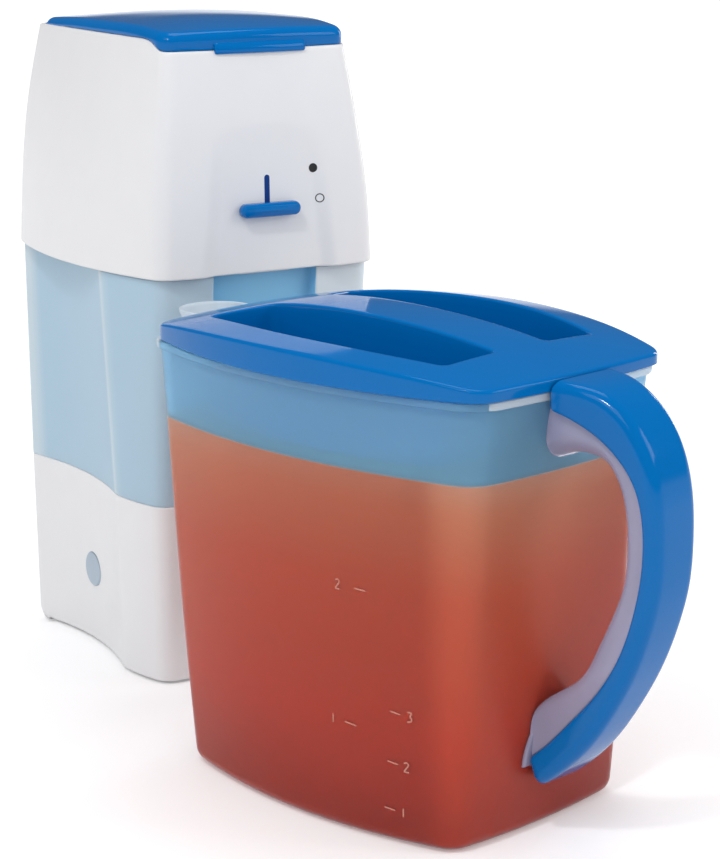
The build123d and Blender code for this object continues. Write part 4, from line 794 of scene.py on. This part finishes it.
# the arch plate: its half width falls with the height as (1 - t to the power 1.8) to the power 0.7
footLow, footHalf, footRise, footMiddle = handleShape["foot"]
t = np.linspace(-1, 1, 61)
archY = footHalf * np.append(np.sign(t) * (1 - (1 - np.abs(t)) ** 1.8) ** 0.7, np.linspace(0.9, -0.9, 13))
archZ = footLow + footRise * np.append(1 - np.abs(t), np.zeros(13))
share, out = (np.array(handleShape["footRows"])[:, k, None] for k in range(2))
footY, footZ = share * archY, footMiddle + share * (archZ - footMiddle)
footPlate = np.stack([endWall(footY, footZ) + out, footY, footZ], -1)
corePiece = buildPiece("handleCore", [(capped(core), False, True), (footPlate, False, True)], pitcherSpot, 50)
dress(corePiece, handleSan, "pitcher", ("handle_core",))
print("handle built")

# pitcher lid
plateShape = {
    "low": 185.3, "spoutEnd": 91.6, "handleEnd": 92.2, "corner": 54.2, "swell": 19.0, "endSwell": 3.5,
    "cornerCut": 6.5,
    # along, edge height, middle height
    "stations": ((-104.0, 188.2, 189.8), (-60.0, 192.6, 199.0), (0.0, 195.6, 201.8), (60.0, 192.2, 196.8),
                 (104.0, 187.2, 188.6)),
    "span": 80.0, "wall": 2.2, "round": 1.3,
    "wellInner": 15.0, "wellOuter": 57.0, "wellMiddle": 36.0, "wellSpout": -60.0, "wellSlant": 11.0,
    "wellHandle": 64.0, "wellFloor": 157.0, "wellRound": 3.0, "spoutCut": 3.5, "handleCut": 2.5,
}


def plateCrown(x, y):
    # height of the pitcher lid: a parabola across, its edge and middle heights on splines along
    stations = np.array(plateShape["stations"])
    edgeZ, middleZ = splineThrough(stations[:, 0], stations[:, 1:], x.ravel()).T.reshape((2,) + x.shape)
    return middleZ - (middleZ - edgeZ) * (y / plateShape["span"]) ** 2


plateSteps, cornerSteps = (26, 72, 26, 72), 7


def halfPlate(inset):
    # half of the lid's plan: along its outline from the handle end to the spout end, back on the middle line
    s, inset = plateShape, np.asarray(inset, float)
    none = 0 * inset
    handle, spout, corner = s["handleEnd"] - inset, s["spoutEnd"] - inset, s["corner"] - inset
    points = [(handle + s["endSwell"], none), (handle, corner), (-spout, corner), (-spout - s["endSwell"], none)]
    through = [(handle + 0.75 * s["endSwell"], corner / 2), (none, corner + s["swell"]),
               (-spout - 0.75 * s["endSwell"], corner / 2), (none, none)]
    return bowedRing(points, through, [0.0, s["cornerCut"], s["cornerCut"], 0.0], plateSteps, cornerSteps)


def wellRing(grow):
    # a finger well's plan: straight along the bar, bowed on the outside
    s, grow = plateShape, np.asarray(grow, float)
    none = 0 * grow
    inner, outer = s["wellInner"] - grow, s["wellOuter"] + grow
    spout, handle, slant = s["wellSpout"] - grow, s["wellHandle"] + grow, s["wellSlant"]
    points = [(handle, inner), (handle, outer - 13), (spout - slant, outer - 15), (spout, inner)]
    through = [(handle, (inner + outer - 13) / 2), (none, outer), (spout - slant / 2, (inner + outer - 15) / 2),
               (none, inner)]
    cuts = [np.maximum(s[key] + grow, 0.8) for key in ("handleCut", "handleCut", "spoutCut", "spoutCut")]
    return bowedRing(points, through, cuts, plateSteps, cornerSteps)


middleStart = 3 * cornerSteps + sum(plateSteps[:3]) - 3   # the column where the outline turns back


def plateHalf(side):
    # The grid of one half. Upper skin: the band, its rounded edge, the top, the well's rounded edge, its walls
    # and floor. Under skin: the same a wall's thickness lower. Both halves meet on the middle line.
    s, r, t = plateShape, plateShape["round"], plateShape["wall"]
    a = np.radians(np.linspace(0, 90, 6))
    edgeInset, edgeDrop = r * (1 - np.cos(a)), r * (1 - np.sin(a))
    outline, well = halfPlate(edgeInset), wellRing(edgeInset[::-1])
    isMiddle = np.zeros(outline.shape[1], bool)
    isMiddle[middleStart:] = True
    last, firstWell = outline[-1], well[0]
    top = np.linspace(0, 1, 12)[1:-1, None, None]
    across = last[None] * (1 - top) + firstWell[None] * top
    skin = np.concatenate([outline, across, well])
    z = plateCrown(skin[..., 0], skin[..., 1])
    drops = np.concatenate([edgeDrop, np.zeros(len(across)), edgeDrop[::-1]])[:, None]
    fromOutline = (np.arange(len(skin)) < len(outline))[:, None]
    z = z - np.where(fromOutline & isMiddle[None, :], 0, drops)
    upper = withHeight(skin, z)
    bandZ = np.linspace(0, 1, 5)[:-1, None]
    rimZ = upper[0, :, 2][None, :]
    band = withHeight(np.repeat(outline[:1], 4, 0), s["low"] + 0.2 + bandZ * (rimZ - s["low"] - 0.2))
    wallShare = np.linspace(0, 1, 12)[1:, None]
    edgeZ = upper[-1, :, 2][None, :]
    q, bottom = s["wellRound"], s["wellFloor"]
    walls = withHeight(np.repeat(well[-1:], 11, 0), edgeZ + wallShare * (bottom + q - edgeZ))
    f = np.radians(np.linspace(15, 90, 6))
    fillet = withHeight(wellRing(-q * (1 - np.cos(f))), bottom + q * (1 - np.sin(f)))
    centre = np.array([(s["wellSpout"] + s["wellHandle"]) / 2, s["wellMiddle"]])
    shares = np.array((0.9, 0.7, 0.45, 0.2, 0.0))[:, None, None]
    floor = withHeight(centre + (fillet[-1, :, :2][None] - centre) * shares, np.full(5, bottom))
    full = np.concatenate([band, upper, walls, fillet, floor])
    # under skin
    inner, tub = halfPlate(np.array([0.2, t])), wellRing(np.array([t]))
    innerTop = inner[1:] * (1 - top) + tub * top
    underFlat = np.concatenate([inner[1:], innerTop, tub])
    underZ = plateCrown(underFlat[..., 0], underFlat[..., 1]) - t
    under = withHeight(underFlat, underZ)
    foot = withHeight(inner, np.array([s["low"], s["low"]]))
    climb = np.array([0.3, 0.6, 0.9])[:, None]
    rise = withHeight(np.repeat(inner[1:], 3, 0), s["low"] + climb * (underZ[:1] - s["low"]))
    fall = np.linspace(0, 1, 9)[1:, None]
    tubWalls = withHeight(np.repeat(tub, 8, 0), underZ[-1:] + fall * (bottom - t + 2 - underZ[-1:]))
    tubBottom = withHeight(wellRing(np.array([t - 0.8, t - 2.0])), np.array([bottom - t + 0.5, bottom - t]))
    tubFloor = withHeight(centre + (tubBottom[-1, :, :2][None] - centre) * shares, np.full(5, bottom - t))
    lower = np.concatenate([foot, rise, under, tubWalls, tubBottom, tubFloor])
    mirror = np.array([1.0, side, 1.0])
    grids = []
    for grid, firstRow in ((full, len(band)), (lower, len(foot) + len(rise))):
        grids.append((grid[:, :middleStart + 1] * mirror, False, False))
        middleGrid = np.concatenate([grid[firstRow:, middleStart:], grid[firstRow:, :1]], 1)
        grids.append((middleGrid * mirror, False, False))
    # the band's lower edge joins the two skins
    grids.append((np.stack([full[0, :middleStart + 1], lower[0, :middleStart + 1]]) * mirror, False, False))
    return grids


plate = buildPiece("pitcherLid", plateHalf(1) + plateHalf(-1), pitcherSpot, 38)
dress(plate, blueAbs, "pitcher_lid_group", ("pitcher_lid",))
print("pitcher lid built")

# printed marks: screen-printed ink, matte
blackInk = mouldedFinish("blackInk", "#141417", "#1B1B1F", 0.5, depth=0.004)
# faint pale ink on the pitcher's graduations
paleInk = mouldedFinish("paleInk", "#C68472", "#BE7A68", 0.5, depth=0.004)
# painted shade: the slider's channel as a dark patch of the blue ABS, for the shade in its depth
slotShade = mouldedFinish("slotShade", "#163F86", "#12357A", 0.6, depth=0.004, Specular_IOR_Level=0.1)
marks = {
    # x, z, radius, hole
    "dots": {"strongMark": (24.1, 242.2, 2.1, 0.0), "mildMark": (27.2, 228.1, 2.1, 1.65)},
    # half width, low, high
    "slot": (1.35, 222.5, 240.6),
}


def frontFace(x, z):
    # the housing's front surface at a place, straight between a ring below it and one above it
    low, high = z.min() - 1, z.max() + 1
    levels = []
    for ring in housingRing(np.array([low, high]), np.zeros(2)):
        front = ring[ring[:, 1] < -55]
        order = np.argsort(front[:, 0])
        levels.append(np.interp(x, front[order, 0], front[order, 1]))
    y = levels[0] + (z - low) / (high - low) * (levels[1] - levels[0])
    return sunkPanel(x, y, z)


def frontPatch(name, x, z, proud, thick, finish):
    # a thin closed patch that lies just proud of the housing's front
    face = np.stack([x, frontFace(x, z) - proud, z], -1)
    closed = np.concatenate([face, (face + np.array([0, thick, 0]))[::-1]])
    dress(buildPiece(name, [(closed, True, True)], towerSpot, 40), finish, "brew_unit")


a = np.linspace(0, 2 * math.pi, 49)[None, :-1]
for name, (x, z, radius, hole) in marks["dots"].items():
    radii = np.linspace(radius, hole, 5)[:, None]
    frontPatch(name, x + radii * np.cos(a), z + radii * np.sin(a), 0.07, 0.05, blackInk)
# the slider's slot above the knob, a patch of painted shade for its deep channel: half a circle at each end,
# pulled apart
half, low, high = marks["slot"]
shares = np.array((1.0, 0.6, 0.2, 0.0))[:, None]
x = half * shares * np.cos(a)
z = (low + high) / 2 + shares * half * np.sin(a) + np.sign(np.sin(a)) * shares * ((high - low) / 2 - half)
frontPatch("slotShade", x, z, 0.06, 0.04, slotShade)

# the slider's knob: a flat pill with a rounded face
knobShape = {
    "half": 15.2, "radius": 3.2, "z": 225.0, "back": -71.3, "front": -76.4, "round": 2.3, "crown": 0.45,
}
a, turn = np.linspace(0, 2 * math.pi, 97)[None, :-1], np.radians(np.linspace(0, 90, 8))
s, r = knobShape, knobShape["round"]
# depth, inset, share
knobRows = np.array([(s["back"], 0.4, 0.0), (s["back"], 0.4, 1.0), (s["back"] - 0.4, 0.0, 1.0)]
                    + [(s["front"] + r * (1 - math.sin(t)), r * (1 - math.cos(t)), 1.0) for t in turn]
                    + [(s["front"], r, f) for f in (0.75, 0.5, 0.25, 0.0)])
depth, inset, share = (knobRows[:, k, None] for k in range(3))
straight = s["half"] - s["radius"]
x = share * ((s["radius"] - inset) * np.cos(a) + straight * np.clip(np.cos(a) * 6, -1, 1))
z = s["z"] + share * (s["radius"] - inset) * np.sin(a)
y = depth + 0 * a - s["crown"] * (1 - share ** 2) * (inset == r)
knob = buildPiece("strengthKnob", [(np.stack([x, y, z], -1), False, True)], towerSpot, 50)
dress(knob, blueAbs, "strength_slider", ("strength_knob",))


# the pitcher's graduations: plain strokes and numbers on the near wall, in millimetres along and up
def nearWall(x, z):
    # the near long side is a parabola through its two corners and its middle
    sizes = splineThrough(pitcherShape["heights"], pitcherShape["sizes"], z.ravel()).T
    spoutEnd, handleEnd, corner, swell = sizes
    t, m = (x.ravel() + spoutEnd) / (spoutEnd + handleEnd), spoutEnd / (spoutEnd + handleEnd)
    return (-corner - swell * t * (1 - t) / (m * (1 - m))).reshape(z.shape)


digits = {
    "1": ((0.0, -2.0), (0.0, 2.0)),
    "2": ((-1.1, 1.4), (-0.4, 2.0), (0.6, 1.9), (1.1, 1.1), (-1.1, -2.0), (1.3, -2.0)),
    "3": ((-1.1, 2.0), (1.1, 2.0), (0.1, 0.4), (1.1, -0.6), (0.6, -1.8), (-1.1, -2.0)),
}
graduations = {
    "dashes": ((32.2, 103.3, 38.3, 103.1), (27.7, 47.1, 33.9, 46.5), (49.6, 56.2, 54.7, 55.5),
               (48.2, 35.1, 53.5, 34.4), (46.6, 15.2, 51.9, 14.7)),
    "numbers": (("2", 24.0, 103.5), ("1", 22.0, 47.2), ("3", 58.6, 55.2), ("2", 57.0, 34.0), ("1", 55.4, 14.5)),
    "half": 0.32, "lift": 0.06,
}
strokes = list(graduations["dashes"])
for digit, x, z in graduations["numbers"]:
    path = np.array(digits[digit]) + (x, z)
    strokes += [(*start, *stop) for start, stop in zip(path[:-1], path[1:])]
# each stroke's half width falls to zero at both ends: the root of one minus the tenth power
along = np.linspace(0, 1, 13)
halfWidth = graduations["half"] * np.sqrt(np.clip(1 - np.abs(2 * along - 1) ** 10, 0, 1))
grids = []
for x0, z0, x1, z1 in strokes:
    alongX, alongZ, length = x1 - x0, z1 - z0, math.hypot(x1 - x0, z1 - z0)
    across = np.array([[1], [-1], [-1], [1]]) * halfWidth
    x = x0 + alongX * along - across * alongZ / length
    z = z0 + alongZ * along + across * alongX / length
    lift = np.array([[1.0], [1.0], [0.3], [0.3]]) * graduations["lift"] * (halfWidth > 0)
    grids.append((np.stack([x, nearWall(x, z) - lift, z], -1), True, False))
dress(buildPiece("graduations", grids, pitcherSpot, 40), paleInk, "pitcher")
print("marks built")

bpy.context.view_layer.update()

# camera, light and floor
view = {"place": (-0.5207, -0.9117, 0.3868), "down": 13.41, "turn": -30.64, "lens": 102.68}
cameraData = bpy.data.cameras.new("camera")
cameraData.lens, cameraData.sensor_width = view["lens"], 36.0
camera = bpy.data.objects.new("camera", cameraData)
camera.location = view["place"]
camera.rotation_euler = (math.radians(90 - view["down"]), 0, math.radians(view["turn"]))
scene.collection.objects.link(camera)
scene.camera = camera

light = {
    "room": 0.72, "backdrop": 1.0, "wallTop": (0.03, 0.12), "ceiling": 0.1, "floor": "#F4F4F5",
    "floorGlow": (0.2, 0.5),
    # place, size and power of each soft lamp
    "lamps": {"key": ((-1.1, -0.7, 1.5), 0.8, 4.5), "glint": ((-0.75, -0.55, 1.35), 0.12, 4.0),
              "top": ((0.3, 0.3, 1.7), 0.7, 4.0), "side": ((1.0, -0.9, 0.9), 0.6, 3.6)},
    # a narrow strip that draws the long light line on the handle: two ends, width, power
    "strip": ((1.15, 0.43, 0.75), (1.27, 0.4, 0.2), 0.14, 1.6),
}


def seenDirectly(tree):
    # 1 for rays from the camera and for rays that mirror or pass through something
    rays = addNode(tree, "LightPath")
    some = addNode(tree, "Math", {"operation": "MAXIMUM"},
                   links={0: (rays, "Is Camera Ray"), 1: (rays, "Is Glossy Ray")})
    return addNode(tree, "Math", {"operation": "MAXIMUM"},
                   links={0: (some, "Value"), 1: (rays, "Is Transmission Ray")})


world = bpy.data.worlds.new("room")
scene.world = world
world.use_nodes = True
tree = world.node_tree
sky = tree.nodes["Background"]
seen = seenDirectly(tree)
# the studio: white up to a little above the horizon, grey towards the ceiling
ways = addNode(tree, "TexCoord")
axes = addNode(tree, "SeparateXYZ", links={"Vector": (ways, "Generated")})
climb = addNode(tree, "MapRange", {"interpolation_type": "SMOOTHSTEP"},
                {"From Min": light["wallTop"][0], "From Max": light["wallTop"][1], "To Min": 1.0,
                 "To Max": light["ceiling"]}, {"Value": (axes, "Z")})
height = addNode(tree, "Mix", {"data_type": "FLOAT"}, {2: 1.0},
                 {0: (seen, "Value"), 3: (climb, "Result")})
tree.links.new(height.outputs[0], sky.inputs["Color"])
level = addNode(tree, "MapRange", values={"To Min": light["room"], "To Max": light["backdrop"]},
                links={"Value": (seen, "Value")})
tree.links.new(level.outputs["Result"], sky.inputs["Strength"])

for name, (place, size, power) in light["lamps"].items():
    lamp = bpy.data.lights.new(name, "AREA")
    lamp.shape, lamp.size, lamp.energy = "SQUARE", size, power
    lampObject = bpy.data.objects.new(name, lamp)
    lampObject.location = place
    aim = np.array((0.0, 0.0, 0.12)) - place
    lampObject.rotation_euler = (math.atan2(math.hypot(aim[0], aim[1]), -aim[2]), 0, math.atan2(-aim[0], aim[1]))
    scene.collection.objects.link(lampObject)

upper, lower, width, power = light["strip"]
strip = bpy.data.lights.new("strip", "AREA")
strip.shape, strip.size, strip.size_y, strip.energy = "RECTANGLE", width, math.dist(upper, lower), power
stripMiddle, stripWay = (Vector(upper) + Vector(lower)) / 2, (Vector(upper) - Vector(lower)).normalized()
outward = (stripMiddle - Vector((0.03, -0.2, 0.15))).normalized()
sideways = stripWay.cross(outward).normalized()
stripObject = bpy.data.objects.new("strip", strip)
stripObject.matrix_world = Matrix.LocRotScale(
    stripMiddle, Matrix((sideways, outward.cross(sideways), outward)).transposed().to_quaternion(), None)
scene.collection.objects.link(stripObject)

floorMaterial = bpy.data.materials.new("paintedStudioFloor")   # matte painted board, nearly white
floorMaterial.use_nodes = True
tree = floorMaterial.node_tree
tree.nodes.remove(tree.nodes["Principled BSDF"])
seen = seenDirectly(tree)
matte = addNode(tree, "BsdfDiffuse", values={"Color": linearColour(light["floor"])})
# the lamps reach the far floor less, so its glow rises with the distance
spread = addNode(tree, "NewGeometry")
away = addNode(tree, "VectorMath", {"operation": "LENGTH"}, links={0: (spread, "Position")})
near, far = light["floorGlow"]
rise = addNode(tree, "MapRange", values={"From Min": 0.5, "From Max": 2.0, "To Min": near, "To Max": far},
               links={"Value": (away, "Value")})
glowLevel = addNode(tree, "Math", {"operation": "MULTIPLY"},
                    links={0: (seen, "Value"), 1: (rise, "Result")})
glow = addNode(tree, "Emission", links={"Strength": (glowLevel, "Value")})
both = addNode(tree, "AddShader", links={0: (matte, "BSDF"), 1: (glow, "Emission")})
tree.links.new(both.outputs["Shader"], tree.nodes["Material Output"].inputs["Surface"])
floorMesh = bpy.data.meshes.new("floor")
floorMesh.from_pydata([(-4, -4, 0), (4, -4, 0), (4, 6, 0), (-4, 6, 0)], [], [(0, 1, 2, 3)])
floorMesh.materials.append(floorMaterial)
floor = bpy.data.objects.new("floor", floorMesh)
scene.collection.objects.link(floor)
print("stage set")
